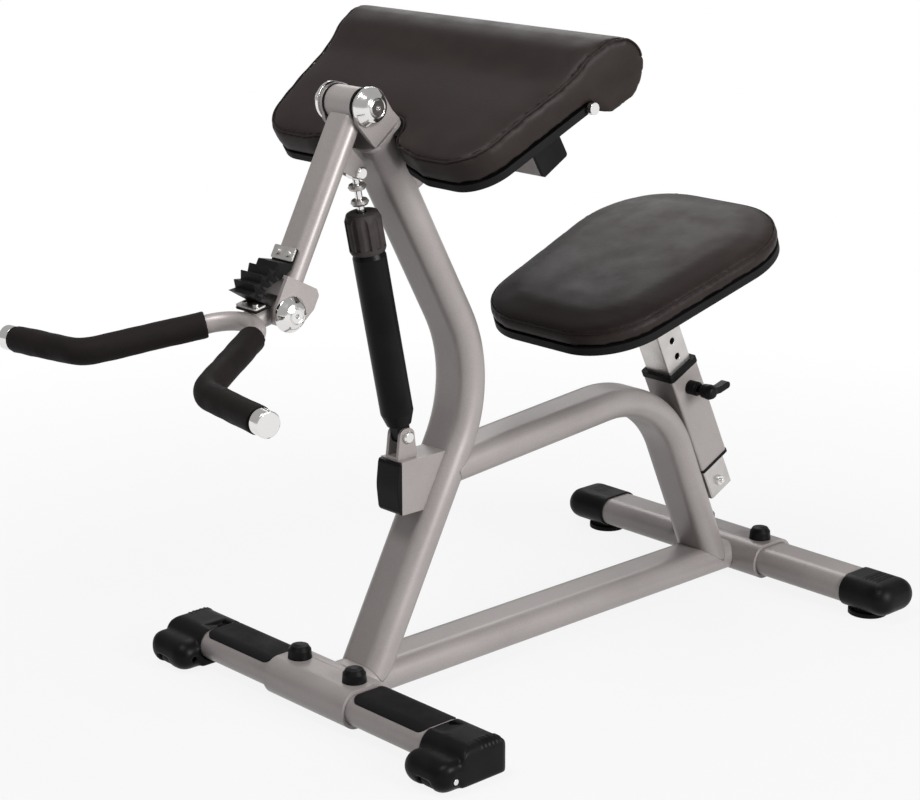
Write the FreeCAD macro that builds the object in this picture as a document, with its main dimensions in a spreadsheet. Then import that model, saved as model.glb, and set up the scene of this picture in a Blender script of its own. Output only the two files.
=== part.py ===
# Biceps curl machine: a welded oval-tube frame with a fixed preacher pad, a
# sliding seat, and a curl arm that hangs from a fork and pulls on a damper.
# The part stands on the floor, Z up, X across and Y towards the seat.
import FreeCAD, Part
import math
import os
import Sketcher

doc = FreeCAD.newDocument("curl_machine")
sheet = doc.addObject("Spreadsheet::Sheet", "sizes")
Vector = FreeCAD.Vector
Rotation = FreeCAD.Rotation
CENTRE = 3


class Size:
    """A size of the sheet, or a sum of several: its words for the sheet and its number."""

    def __init__(self, words, number):
        self.words = words
        self.number = number

    def joined(self, sign, other, number):
        return Size("(%s %s %s)" % (self.words, sign, words_of(other)), number)

    def __add__(self, other):
        return self.joined("+", other, self.number + number_of(other))

    def __sub__(self, other):
        return self.joined("-", other, self.number - number_of(other))

    def __mul__(self, other):
        return self.joined("*", other, self.number * number_of(other))

    def __truediv__(self, other):
        return self.joined("/", other, self.number / number_of(other))

    def __neg__(self):
        return Size("(-%s)" % self.words, -self.number)

    __radd__ = __add__
    __rmul__ = __mul__

    def __rsub__(self, other):
        return -self + other


def words_of(size):
    return size.words if isinstance(size, Size) else repr(float(size))


def number_of(size):
    return size.number if isinstance(size, Size) else float(size)


def sine(angle):
    return Size("sin(%s)" % angle.words, math.sin(math.radians(angle.number)))


def cosine(angle):
    return Size("cos(%s)" % angle.words, math.cos(math.radians(angle.number)))


def tangent(angle):
    return Size("tan(%s)" % angle.words, math.tan(math.radians(angle.number)))


def slope(rise, run):
    """The angle, in degrees, of a line that rises by rise over run."""
    words = "(atan2(%s; %s) / 1 deg)" % (words_of(rise), words_of(run))
    return Size(words, math.degrees(math.atan2(number_of(rise), number_of(run))))


def span(rise, run):
    words = "sqrt(%s ^ 2 + %s ^ 2)" % (words_of(rise), words_of(run))
    return Size(words, math.hypot(number_of(rise), number_of(run)))


rows = []


def named(alias, number):
    """Write one driving size into the sheet and give it back."""
    rows.append(alias)
    sheet.set("A%d" % len(rows), alias.replace("_", " "))
    sheet.set("B%d" % len(rows), str(number))
    sheet.setAlias("B%d" % len(rows), alias)
    return Size("sizes." + alias, float(number))


def bind(feature, name, size):
    """Tie one property of a feature to a size."""
    feature.setExpression(name, words_of(size))


def new_body(name):
    body = doc.addObject("PartDesign::Body", name)
    body.Label = name
    return body


def seat_at(thing, x=0, y=0, z=0, lean=0):
    """Place a piece, turned about X by lean: a positive lean tips its top towards the front."""
    start = Vector(number_of(x), number_of(y), number_of(z))
    thing.Placement = FreeCAD.Placement(start, Rotation(Vector(1, 0, 0), number_of(lean)))
    bind(thing, "Placement.Base.x", x)
    bind(thing, "Placement.Base.y", y)
    bind(thing, "Placement.Base.z", z)
    if isinstance(lean, Size):
        bind(thing, "Placement.Rotation.Angle", lean)


def new_sketch(body, role, lift=0):
    """A sketch on one of a body's own planes, lifted along that plane's normal."""
    sketch = body.newObject("Sketcher::SketchObject", body.Name + "_sketch")
    support = [plane for plane in body.Origin.OriginFeatures if plane.Role == role]
    sketch.AttachmentSupport = (support[0], "")
    sketch.MapMode = "FlatFace"
    sketch.AttachmentOffset = FreeCAD.Placement(Vector(0, 0, number_of(lift)), Rotation())
    bind(sketch, "AttachmentOffset.Base.z", lift)
    return sketch


def fix(sketch, kind, geometry, position, size):
    """Hold a point of the sketch at a distance from the sketch's origin."""
    if number_of(size) == 0 and not isinstance(size, Size):
        axis = -2 if kind == "DistanceX" else -1
        sketch.addConstraint(Sketcher.Constraint("PointOnObject", geometry, position, axis))
        return
    index = sketch.addConstraint(
        Sketcher.Constraint(kind, -1, 1, geometry, position, number_of(size)))
    bind(sketch, "Constraints[%d]" % index, size)


def fix_point(sketch, geometry, position, x, y):
    fix(sketch, "DistanceX", geometry, position, x)
    fix(sketch, "DistanceY", geometry, position, y)


def circle(sketch, x, y, radius):
    centre = Vector(number_of(x), number_of(y), 0)
    ring = Part.Circle(centre, Vector(0, 0, 1), number_of(radius))
    index = sketch.addGeometry(ring, False)
    fix_point(sketch, index, CENTRE, x, y)
    held = sketch.addConstraint(Sketcher.Constraint("Radius", index, number_of(radius)))
    bind(sketch, "Constraints[%d]" % held, radius)


def corner_arc(before, corner, after, radius):
    """The arc that rounds a corner, with its two ends in the order of the outline."""
    into = (corner - before).normalize()
    out = (after - corner).normalize()
    turn = into.getAngle(out)
    reach = radius * math.tan(turn / 2)
    start = corner - into * reach
    end = corner + out * reach
    middle_way = (out - into).normalize()
    centre = corner + middle_way * (radius / math.cos(turn / 2))
    middle = centre - middle_way * radius
    return Part.Arc(start, middle, end), start, end, into.cross(out).z > 0


def outline(sketch, corners, closed=True):
    """Straight runs through corners (x, y) or, rounded, (x, y, radius)."""
    points = [Vector(number_of(c[0]), number_of(c[1]), 0) for c in corners]
    count = len(points)
    legs = count if closed else count - 1
    arcs = {}
    for index, corner in enumerate(corners):
        inner = closed or 0 < index < count - 1
        if len(corner) == 3 and inner:
            arcs[index] = corner_arc(points[index - 1], points[index],
                                     points[(index + 1) % count], number_of(corner[2]))
    lines = []
    for index in range(legs):
        after = (index + 1) % count
        start = arcs[index][2] if index in arcs else points[index]
        end = arcs[after][1] if after in arcs else points[after]
        lines.append(sketch.addGeometry(Part.LineSegment(start, end), False))
    for index, corner in enumerate(corners):
        entering = lines[index - 1] if closed or index else None
        leaving = lines[index] if index < legs else None
        if index in arcs:
            bend, start, end, left = arcs[index]
            arc = sketch.addGeometry(bend, False)
            mark = sketch.addGeometry(Part.Point(points[index]), True)
            fix_point(sketch, mark, 1, corner[0], corner[1])
            sketch.addConstraint(Sketcher.Constraint("PointOnObject", mark, 1, entering))
            sketch.addConstraint(Sketcher.Constraint("PointOnObject", mark, 1, leaving))
            first, second = (1, 2) if left else (2, 1)
            sketch.addConstraint(Sketcher.Constraint("Tangent", entering, 2, arc, first))
            sketch.addConstraint(Sketcher.Constraint("Tangent", leaving, 1, arc, second))
            held = sketch.addConstraint(
                Sketcher.Constraint("Radius", arc, number_of(corner[2])))
            bind(sketch, "Constraints[%d]" % held, corner[2])
            continue
        if leaving is not None:
            fix_point(sketch, leaving, 1, corner[0], corner[1])
            if entering is not None:
                sketch.addConstraint(Sketcher.Constraint("Coincident", entering, 2, leaving, 1))
        else:
            fix_point(sketch, entering, 2, corner[0], corner[1])


def oval(sketch, width, height, x=0, y=0):
    """A flat oval, wide along the sketch's X, with half-round ends."""
    flat = number_of(width - height) / 2
    radius = number_of(height) / 2
    middle = Vector(number_of(x), number_of(y), 0)
    right = middle + Vector(flat, 0, 0)
    left = middle - Vector(flat, 0, 0)
    up = Vector(0, radius, 0)
    side = Vector(radius, 0, 0)
    top = sketch.addGeometry(Part.LineSegment(right + up, left + up), False)
    turn = sketch.addGeometry(Part.Arc(left + up, left - side, left - up), False)
    bottom = sketch.addGeometry(Part.LineSegment(left - up, right - up), False)
    other = sketch.addGeometry(Part.Arc(right - up, right + side, right + up), False)
    for before, after in ((top, turn), (turn, bottom), (bottom, other), (other, top)):
        sketch.addConstraint(Sketcher.Constraint("Coincident", before, 2, after, 1))
    fix(sketch, "DistanceX", turn, CENTRE, x - (width - height) / 2)
    fix(sketch, "DistanceX", other, CENTRE, x + (width - height) / 2)
    fix_point(sketch, top, 1, x + (width - height) / 2, y + height / 2)
    fix_point(sketch, top, 2, x - (width - height) / 2, y + height / 2)
    fix_point(sketch, bottom, 1, x - (width - height) / 2, y - height / 2)
    fix_point(sketch, bottom, 2, x + (width - height) / 2, y - height / 2)


def pad(body, sketch, length, symmetric=True, reverse=False):
    feature = body.newObject("PartDesign::Pad", body.Name + "_pad")
    feature.Profile = sketch
    feature.SideType = "Symmetric" if symmetric else "One side"
    feature.Reversed = reverse
    bind(feature, "Length", length)
    return feature


def pocket(body, sketch, length, symmetric=True, reverse=False):
    feature = body.newObject("PartDesign::Pocket", body.Name + "_pocket")
    feature.Profile = sketch
    feature.SideType = "Symmetric" if symmetric else "One side"
    feature.Reversed = reverse
    bind(feature, "Length", length)
    return feature


def revolve(body, sketch, axis, groove=False):
    """Turn a profile right round the sketch's horizontal or vertical axis."""
    kind = "PartDesign::Groove" if groove else "PartDesign::Revolution"
    feature = body.newObject(kind, body.Name + "_turn")
    feature.Profile = sketch
    feature.ReferenceAxis = (sketch, [axis])
    feature.Angle = 360
    return feature


def sweep(body, section, spine, cut=False):
    kind = "PartDesign::SubtractivePipe" if cut else "PartDesign::AdditivePipe"
    feature = body.newObject(kind, body.Name + "_sweep")
    feature.Profile = section
    feature.Spine = (spine, [])
    feature.Transition = "Transformed"
    return feature


def mirror(body, feature, role="YZ_Plane"):
    twin = body.newObject("PartDesign::Mirrored", body.Name + "_mirror")
    twin.Originals = [feature]
    twin.MirrorPlane = ([p for p in body.Origin.OriginFeatures if p.Role == role][0], [""])
    body.Tip = twin
    return twin


pieces = []


def piece(thing, name=None):
    """Mark an object as one of the machine's pieces; its label names its file."""
    if name:
        thing.Label = name
    pieces.append(thing)
    return thing


def cut_away(name, base, tools):
    """The piece that is left of base where none of the tools is."""
    tool = tools[0]
    if len(tools) > 1:
        tool = doc.addObject("Part::MultiFuse", name + "_tools")
        tool.Shapes = tools
    cut = doc.addObject("Part::Cut", name + "_cut")
    cut.Base = base
    cut.Tool = tool
    return piece(cut, name)


# Stock and clearances that many pieces share.
tube_wide = named("tube_wide", 80)
tube_thick = named("tube_thick", 45)
tube_wall = named("tube_wall", 2.5)
plate_thick = named("plate_thick", 6)
running_gap = named("running_gap", 0.05)
loose_gap = named("loose_gap", 0.4)
overrun = named("overrun", 40)
quarter_turn = named("quarter_turn", 90)

# The front crossbar's middle is the place that the whole frame is set out from.
front_reach = named("front_reach", 286.65)
crossbar_spacing = named("crossbar_spacing", 850)
crossbar_height = named("crossbar_height", 36.5)
front_y = -front_reach
rear_y = crossbar_spacing - front_reach

# The upright leans back from the base, bends, and leans forward to the fork.
upright_foot = named("upright_foot", 65)
lower_lean = named("lower_lean", 28)
upper_lean = named("upper_lean", 28.3)
upright_bend = named("upright_bend", 200)
lower_run = named("lower_run", 452.3)
upper_run = named("upper_run", 420)
head_tilt = named("head_tilt", 38.7)
head_height = named("head_height", 798)
head_y = front_y + named("head_back", 87)

# Where the two big hinges and the damper's two eyes are.
pivot_y = front_y + named("pivot_back", 56)
pivot_height = named("pivot_height", 837)
arm_lean = named("arm_lean", 27.55)
arm_length = named("arm_length", 285.4)
tab_back = named("tab_back", 46.1)
tab_drop = named("tab_drop", 77.5)
damper_foot_y = front_y + named("damper_foot_back", 139)
damper_foot_height = named("damper_foot_height", 371)
hinge_y = pivot_y - arm_length * sine(arm_lean)
hinge_height = pivot_height - arm_length * cosine(arm_lean)
tab_y = pivot_y + tab_back * cosine(arm_lean) - tab_drop * sine(arm_lean)
tab_height = pivot_height - tab_back * sine(arm_lean) - tab_drop * cosine(arm_lean)
damper_lean = slope(damper_foot_y - tab_y, tab_height - damper_foot_height)
damper_length = span(damper_foot_y - tab_y, tab_height - damper_foot_height)

# The seat's post and the two pads.
post_y = rear_y - named("post_short", 57.8)
post_height = named("post_height", 150.8)
post_lean = named("post_lean", 25.7)
seat_y = rear_y - named("seat_short", 255)
seat_height = named("seat_height", 509.8)
seat_tilt = named("seat_tilt", 18.3)
preacher_y = front_y + named("preacher_back", 200)
preacher_height = named("preacher_height", 862.7)
preacher_tilt = named("preacher_tilt", 30.3)


# Solid tubes without their bore, which other pieces are shaped round.
def tube_path(body, role, wide, thick, wall=None):
    section = new_sketch(body, role)
    oval(section, wide, thick)
    if wall is not None:
        oval(section, wide - wall * 2, thick - wall * 2)
    return section


def upright_tube(name, wall=None):
    body = new_body(name)
    spine = new_sketch(body, "YZ_Plane")
    turn = lower_lean + upper_lean
    outline(spine, [(0, 0), (0, lower_run, upright_bend),
                    (-upper_run * sine(turn), lower_run + upper_run * cosine(turn))],
            closed=False)
    sweep(body, tube_path(body, "XY_Plane", tube_wide, tube_thick, wall), spine)
    seat_at(body, 0, front_y + upright_foot, crossbar_height, -lower_lean)
    return body


upright_space = upright_tube("upright_space")
upright_stock = upright_tube("upright_stock", tube_wall)

saddle_shell = named("saddle_shell", 5)
saddle_half_length = named("saddle_half_length", 84.4)
saddle_wide = tube_wide + (saddle_shell + loose_gap) * 2
saddle_thick = tube_thick + (saddle_shell + loose_gap) * 2


def saddle_solid(name, y):
    body = new_body(name)
    section = new_sketch(body, "YZ_Plane")
    oval(section, saddle_wide, saddle_thick)
    pad(body, section, saddle_half_length * 2)
    seat_at(body, 0, y, crossbar_height)
    return body


front_saddle_space = saddle_solid("front_saddle_space", front_y)
rear_saddle_space = saddle_solid("rear_saddle_space", rear_y)


def beam_tube(name, wall=None):
    body = new_body(name)
    pad(body, tube_path(body, "XZ_Plane", tube_wide, tube_thick, wall), crossbar_spacing)
    seat_at(body, 0, (front_y + rear_y) / 2, crossbar_height)
    return body


beam_space = beam_tube("beam_space")
beam_stock = beam_tube("beam_stock", tube_wall)
cut_away("base_beam", beam_stock, [front_saddle_space, rear_saddle_space])



def half_space(name, y, z, lean=0, above=True, reach=None):
    """Everything on one side of a plane, as far as a cut near it needs."""
    reach = reach or tube_wide * 2
    body = new_body(name)
    sketch = new_sketch(body, "XY_Plane")
    outline(sketch, [(-reach, -reach), (reach, -reach), (reach, reach), (-reach, reach)])
    pad(body, sketch, reach * 2, symmetric=False, reverse=not above)
    seat_at(body, 0, y, z, lean)
    return body


# The upright's foot and the arch's leg reach down the beam's sides to half its height.
under_foot = half_space("under_foot", front_y + upright_foot, crossbar_height, above=False)
under_leg = half_space("under_leg", rear_y - tube_wide, crossbar_height, above=False)

# The upright ends under a sloping head plate.
head_thick = named("head_thick", 5)
over_head = half_space("over_head", head_y + head_thick * sine(head_tilt),
                       head_height - head_thick * cosine(head_tilt), head_tilt)
cut_away("front_upright", upright_stock, [beam_space, under_foot, over_head])

head_plate = piece(new_body("head_plate"))
head_long = named("head_long", 64)
head_wide = named("head_wide", 80)
plate_sketch = new_sketch(head_plate, "XY_Plane")
outline(plate_sketch, [(-head_wide / 2, -head_long / 2, head_long / 4),
                       (head_wide / 2, -head_long / 2, head_long / 4),
                       (head_wide / 2, head_long / 2, head_long / 4),
                       (-head_wide / 2, head_long / 2, head_long / 4)])
pad(head_plate, plate_sketch, head_thick, symmetric=False, reverse=True)
seat_at(head_plate, 0, head_y, head_height, head_tilt)

# The arch leaves the upright, runs back and comes down in front of the seat's sleeve.
arch_rise = named("arch_rise", 5)
arch_start = named("arch_start", 200)
arch_height = named("arch_height", 310.1)
arch_run = crossbar_spacing - named("arch_short", 405)
arch_drop = named("arch_drop", 350)
arch_bend = named("arch_bend", 165)
leg_lean = named("leg_lean", 24.2)
rear_arch = new_body("arch_stock")
arch_spine = new_sketch(rear_arch, "YZ_Plane")
outline(arch_spine, [(0, 0), (arch_run, 0, arch_bend),
                     (arch_run + arch_drop * sine(leg_lean - arch_rise),
                      -arch_drop * cosine(leg_lean - arch_rise))], closed=False)
sweep(rear_arch, tube_path(rear_arch, "XZ_Plane", tube_wide, tube_thick, tube_wall), arch_spine)
seat_at(rear_arch, 0, front_y + arch_start, arch_height, arch_rise)

post_wide = named("post_wide", 50)
sleeve_wide = post_wide + named("sleeve_room", 11)
sleeve_start = named("sleeve_start", 62)
sleeve_long = named("sleeve_long", 174)
sleeve_wall = named("sleeve_wall", 3)
square_round = named("square_round", 4)


def square(sketch, wide, deep, rounding, x=0, y=0):
    outline(sketch, [(x - wide / 2, y - deep / 2, rounding), (x + wide / 2, y - deep / 2, rounding),
                     (x + wide / 2, y + deep / 2, rounding), (x - wide / 2, y + deep / 2, rounding)])


sleeve_space = new_body("sleeve_space")
space_sketch = new_sketch(sleeve_space, "XY_Plane", sleeve_start - overrun)
square(space_sketch, sleeve_wide, sleeve_wide, square_round)
pad(sleeve_space, space_sketch, sleeve_long + overrun * 2, symmetric=False)
seat_at(sleeve_space, 0, post_y, post_height, post_lean)
before_upright = half_space("before_upright", front_y + upright_foot, crossbar_height,
                            quarter_turn - lower_lean, reach=tube_wide * 6)
cut_away("rear_arch", rear_arch, [upright_space, before_upright, beam_space, under_leg,
                                  sleeve_space, rear_saddle_space])

# Crossbars, clamped in saddles whose inner halves are welded to the beam.
front_half = named("front_half", 260)
rear_half = named("rear_half", 288)
bolt_spread = named("bolt_spread", 58.2)
bolt_thick = named("bolt_thick", 10)
bolt_hole = bolt_thick + loose_gap * 2
split_place = named("split_place", 12)


def crossbar(name, y, half):
    body = piece(new_body(name))
    section = new_sketch(body, "YZ_Plane")
    oval(section, tube_wide, tube_thick)
    oval(section, tube_wide - tube_wall * 2, tube_thick - tube_wall * 2)
    pad(body, section, half * 2)
    holes = new_sketch(body, "XY_Plane")
    circle(holes, bolt_spread, 0, bolt_hole / 2)
    circle(holes, -bolt_spread, 0, bolt_hole / 2)
    pocket(body, holes, tube_thick * 2)
    seat_at(body, 0, y, crossbar_height)


crossbar("front_crossbar", front_y, front_half)
crossbar("rear_crossbar", rear_y, rear_half)


def saddle_half(name, y, side, inner):
    """One half of a saddle's shell; side is 1 where the beam is behind it."""
    body = piece(new_body(name))
    section = new_sketch(body, "YZ_Plane")
    oval(section, saddle_wide, saddle_thick)
    oval(section, tube_wide + loose_gap * 2, tube_thick + loose_gap * 2)
    pad(body, section, saddle_half_length * 2)
    holes = new_sketch(body, "XY_Plane")
    circle(holes, bolt_spread, 0, bolt_hole / 2)
    circle(holes, -bolt_spread, 0, bolt_hole / 2)
    pocket(body, holes, saddle_thick * 2)
    away = new_sketch(body, "YZ_Plane")
    split = split_place * side
    far = saddle_wide * side * (-1 if inner else 1)
    near = split + loose_gap * side * (0 if inner else -1)
    low, high = (far, near) if number_of(far) < number_of(near) else (near, far)
    outline(away, [(low, -saddle_thick), (high, -saddle_thick),
                   (high, saddle_thick), (low, saddle_thick)])
    pocket(body, away, saddle_half_length * 3)
    seat_at(body, 0, y, crossbar_height)


saddle_half("front_saddle", front_y, 1, True)
saddle_half("front_clamp", front_y, 1, False)
saddle_half("rear_saddle", rear_y, -1, True)
saddle_half("rear_clamp", rear_y, -1, False)

# Four carriage bolts hold the clamps, each with a washered nut under a ribbed cap.
bolt_head = named("bolt_head", 11)
bolt_head_high = named("bolt_head_high", 5)
nut_half = named("nut_half", 8)
nut_high = named("nut_high", 8)
cap_half = named("cap_half", 17)
cap_high = named("cap_high", 20)
cap_wall = named("cap_wall", 2)
saddle_top = crossbar_height + saddle_thick / 2
bolt_long = saddle_thick + nut_high + named("bolt_end", 4)


def bolt_pair(name, y):
    body = new_body(name)
    profile = new_sketch(body, "XZ_Plane")
    outline(profile, [
        (bolt_spread, -bolt_head_high), (bolt_spread + bolt_head * 0.6, -bolt_head_high),
        (bolt_spread + bolt_head, 0), (bolt_spread + bolt_thick / 2, 0),
        (bolt_spread + bolt_thick / 2, saddle_thick),
        (bolt_spread + nut_half, saddle_thick), (bolt_spread + nut_half, saddle_thick + nut_high),
        (bolt_spread + bolt_thick / 2, saddle_thick + nut_high),
        (bolt_spread + bolt_thick / 2, bolt_long), (bolt_spread, bolt_long)])
    turn_about_line(body, profile, bolt_spread)
    seat_at(body, 0, y, crossbar_height - saddle_thick / 2)
    return body


def turn_about_line(body, sketch, x):
    """Turn a profile about a line of its own at x, then mirror it across the machine."""
    line = sketch.addGeometry(Part.LineSegment(Vector(number_of(x), -1, 0),
                                               Vector(number_of(x), 1, 0)), True)
    sketch.addConstraint(Sketcher.Constraint("Vertical", line))
    fix(sketch, "DistanceX", line, 1, x)
    feature = revolve(body, sketch, "Axis0")
    return mirror(body, feature)


def joined(name, parts):
    union = doc.addObject("Part::Compound", name + "_set")
    union.Links = parts
    return piece(union, name)


joined("clamp_bolts", [bolt_pair("front_bolts", front_y), bolt_pair("rear_bolts", rear_y)])


def cap_pair(name, y):
    body = new_body(name)
    profile = new_sketch(body, "XZ_Plane")
    outline(profile, [
        (bolt_spread + cap_half - cap_wall, 0), (bolt_spread + cap_half, 0),
        (bolt_spread + cap_half * 0.94, cap_high * 0.62),
        (bolt_spread + cap_half * 0.72, cap_high * 0.9),
        (bolt_spread + cap_half * 0.3, cap_high), (bolt_spread, cap_high),
        (bolt_spread, cap_high - cap_wall * 2),
        (bolt_spread + cap_half * 0.5, cap_high - cap_wall * 2.5),
        (bolt_spread + cap_half - cap_wall * 2, cap_high * 0.5)])
    turn_about_line(body, profile, bolt_spread)
    seat_at(body, 0, y, saddle_top)
    return body


joined("bolt_caps", [cap_pair("front_caps", front_y), cap_pair("rear_caps", rear_y)])

# Grip treads lie on the front crossbar's top between the saddle and the end caps.
tread_thick = named("tread_thick", 1.5)
tread_start = saddle_half_length + named("tread_inset", 4)
tread_end = named("tread_end", 232)
tread_wide = named("tread_wide", 66)
tread_round = named("tread_round", 12)
tread_shell = new_body("tread_shell")
shell_sketch = new_sketch(tread_shell, "YZ_Plane")
oval(shell_sketch, tube_wide + tread_thick * 2, tube_thick + tread_thick * 2)
oval(shell_sketch, tube_wide, tube_thick)
pad(tread_shell, shell_sketch, tread_end * 2)
seat_at(tread_shell, 0, front_y, crossbar_height)
tread_field = new_body("tread_field")
field_sketch = new_sketch(tread_field, "XY_Plane")
tread_middle = (tread_start + tread_end) / 2
square(field_sketch, tread_end - tread_start, tread_wide, tread_round, tread_middle)
field = pad(tread_field, field_sketch, tube_thick, symmetric=False)
mirror(tread_field, field)
seat_at(tread_field, 0, front_y, crossbar_height)
treads = doc.addObject("Part::Common", "treads")
treads.Base = tread_shell
treads.Tool = tread_field
piece(treads, "grip_treads")

# Moulded boots close the crossbars. The front pair carries the transport wheels.
boot_wall = named("boot_wall", 2)
boot_top = crossbar_height + tube_thick / 2 + boot_wall
boot_depth = tube_wide / 2 + boot_wall
boot_skirt = named("boot_skirt", 6)
front_boot_start = named("front_boot_start", 232.5)
front_boot_long = named("front_boot_long", 84.5)
front_boot_end = front_boot_start + front_boot_long
toe_reach = named("toe_reach", 77)
toe_high = named("toe_high", 47)
toe_low = named("toe_low", 2.5)
toe_round = named("toe_round", 21.5)
dome_steps = 5
toe_start = named("toe_start", 28)
cover_low = named("cover_low", 20)
wheel_half = named("wheel_half", 20)
wheel_wide = named("wheel_wide", 22)
wheel_lift = named("wheel_lift", 1.5)
axle_thick = named("axle_thick", 8)
wheel_y = -named("wheel_ahead", 52)
boot_round = named("boot_round", 13)


def toe_outline(sketch, inset, side):
    share = inset / toe_round * 0.8
    near = (front_boot_start + inset) * side
    far = (front_boot_end - inset) * side
    corners = [(near, toe_low + inset, toe_round * (1 - share)),
               (far, toe_low + inset, toe_round * (1 - share)),
               (far, toe_high - inset, boot_round * (1 - share)),
               (near, toe_high - inset, toe_round * (1 - share))]
    outline(sketch, corners if side > 0 else corners[::-1])


def front_boot(name, side):
    body = piece(new_body(name))
    end = front_boot_end * side
    near = (front_boot_end - toe_round) * side
    far = (front_boot_end + overrun) * side
    profile = new_sketch(body, "YZ_Plane", front_boot_start * side)
    shoulder = boot_round * 1.9
    outline(profile, [(-boot_depth, boot_skirt, boot_round / 2), (-boot_depth, boot_top, shoulder),
                      (boot_depth, boot_top, shoulder), (boot_depth, boot_skirt, boot_round / 2)])
    pad(body, profile, front_boot_long, symmetric=False, reverse=side < 0)
    dome = new_sketch(body, "XZ_Plane")
    corners = [(near, boot_top + overrun), (far, boot_top + overrun), (far, boot_skirt - overrun),
               (near, boot_skirt - overrun), (near, boot_skirt), (end, boot_skirt, boot_round / 2),
               (end, boot_top, boot_round), (near, boot_top)]
    outline(dome, corners if side > 0 else corners[::-1])
    pocket(body, dome, toe_reach * 3)
    plan = new_sketch(body, "XY_Plane")
    corners = [(far, 0), (far, boot_depth + overrun), (near, boot_depth + overrun),
               (near, boot_depth), (end, boot_depth, boot_round), (end, 0)]
    outline(plan, corners if side > 0 else corners[::-1])
    pocket(body, plan, boot_top * 3)
    sole = new_sketch(body, "XY_Plane")
    square(sole, front_boot_long * 0.7, boot_depth * 1.4, boot_round,
           (front_boot_start + front_boot_end) / 2 * side, boot_depth * 0.1)
    pad(body, sole, boot_skirt + boot_wall, symmetric=False)
    root = new_sketch(body, "XZ_Plane", boot_depth / 2)
    toe_outline(root, toe_round * 0, side)
    layers = [root]
    for step in range(dome_steps + 1):
        turn = quarter_turn * (step / dome_steps)
        reach = toe_reach - toe_round + toe_round * sine(turn)
        layer = new_sketch(body, "XZ_Plane", reach)
        toe_outline(layer, toe_round - toe_round * cosine(turn), side)
        layers.append(layer)
    toe = body.newObject("PartDesign::AdditiveLoft", "toe")
    toe.Profile = layers[0]
    toe.Sections = layers[1:]
    toe.Ruled = True
    bore = new_sketch(body, "YZ_Plane", (front_boot_start - overrun) * side)
    oval(bore, tube_wide + loose_gap * 2, tube_thick + loose_gap * 2, 0, crossbar_height)
    pocket(body, bore, front_half + loose_gap - front_boot_start + overrun,
           symmetric=False, reverse=side > 0)
    well = new_sketch(body, "YZ_Plane", (front_boot_start + toe_start + boot_skirt) * side)
    gap = loose_gap * 5
    room = wheel_half + gap
    centre = wheel_half + wheel_lift
    outline(well, [(-toe_reach - overrun, -overrun), (wheel_y + room, -overrun),
                   (wheel_y + room, centre + room * 0.42), (wheel_y + room * 0.42, centre + room),
                   (wheel_y - room * 0.42, centre + room), (wheel_y - room, centre + room * 0.42),
                   (wheel_y - room, cover_low), (-toe_reach - overrun, cover_low)])
    pocket(body, well, wheel_wide + gap * 2, symmetric=False, reverse=side > 0)
    axle = new_sketch(body, "YZ_Plane")
    circle(axle, wheel_y, wheel_half + wheel_lift, axle_thick / 2)
    pocket(body, axle, (front_boot_start + front_boot_long) * 3)
    seat_at(body, 0, front_y, 0)


front_boot("front_end_cap_right", 1)
front_boot("front_end_cap_left", -1)

rear_boot_start = named("rear_boot_start", 249)
rear_boot_end = named("rear_boot_end", 337)
rear_boot_round = named("rear_boot_round", 23)
foot_half = named("foot_half", 30)
foot_high = named("foot_high", 7)
foot_place = rear_boot_start + named("foot_inset", 26)
boot_wide = tube_wide + boot_wall * 3
boot_thick = tube_thick + boot_wall * 3


def rear_boot(name, side):
    body = new_body(name)
    stock = new_sketch(body, "YZ_Plane", rear_boot_start * side)
    oval(stock, boot_wide, boot_thick)
    dome_start = rear_boot_end - rear_boot_round
    pad(body, stock, dome_start - rear_boot_start, symmetric=False, reverse=side < 0)
    layers = []
    for step in range(dome_steps + 1):
        turn = quarter_turn * (step / dome_steps)
        inset = (rear_boot_round - rear_boot_round * cosine(turn)) * 2
        layer = new_sketch(body, "YZ_Plane", (dome_start + rear_boot_round * sine(turn)) * side)
        oval(layer, boot_wide - inset, boot_thick - inset)
        layers.append(layer)
    dome = body.newObject("PartDesign::AdditiveLoft", "dome")
    dome.Profile = layers[0]
    dome.Sections = layers[1:]
    dome.Ruled = True
    bore = new_sketch(body, "YZ_Plane", (rear_boot_start - overrun) * side)
    oval(bore, tube_wide + loose_gap * 2, tube_thick + loose_gap * 2)
    pocket(body, bore, rear_half + loose_gap - rear_boot_start + overrun,
           symmetric=False, reverse=side > 0)
    seat_at(body, 0, rear_y, crossbar_height)
    return body


joined("rear_end_caps", [rear_boot("rear_cap_right", 1), rear_boot("rear_cap_left", -1)])


def foot(name, side):
    body = new_body(name)
    rest = new_sketch(body, "XY_Plane")
    circle(rest, 0, 0, foot_half)
    pad(body, rest, foot_high, symmetric=False)
    neck = new_sketch(body, "XY_Plane", foot_high)
    circle(neck, 0, 0, foot_half * 0.8)
    pad(body, neck, crossbar_height - boot_thick / 2 - foot_high, symmetric=False)
    seat_at(body, foot_place * side, rear_y, 0)
    return body


joined("rear_feet", [foot("foot_right", 1), foot("foot_left", -1)])

# Each front boot has a wheel on a pin in its toe, just clear of the floor.
wheel_x = front_boot_start + toe_start + boot_skirt + loose_gap * 5 + wheel_wide / 2
axle_long = front_boot_long - toe_start


def axle(name, side):
    body = new_body(name)
    ring = new_sketch(body, "YZ_Plane", (front_boot_start + toe_start) * side)
    circle(ring, 0, 0, axle_thick / 2)
    pad(body, ring, axle_long, symmetric=False, reverse=side < 0)
    seat_at(body, 0, front_y + wheel_y, wheel_half + wheel_lift)
    return body


joined("wheel_axles", [axle("axle_right", 1), axle("axle_left", -1)])


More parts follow.
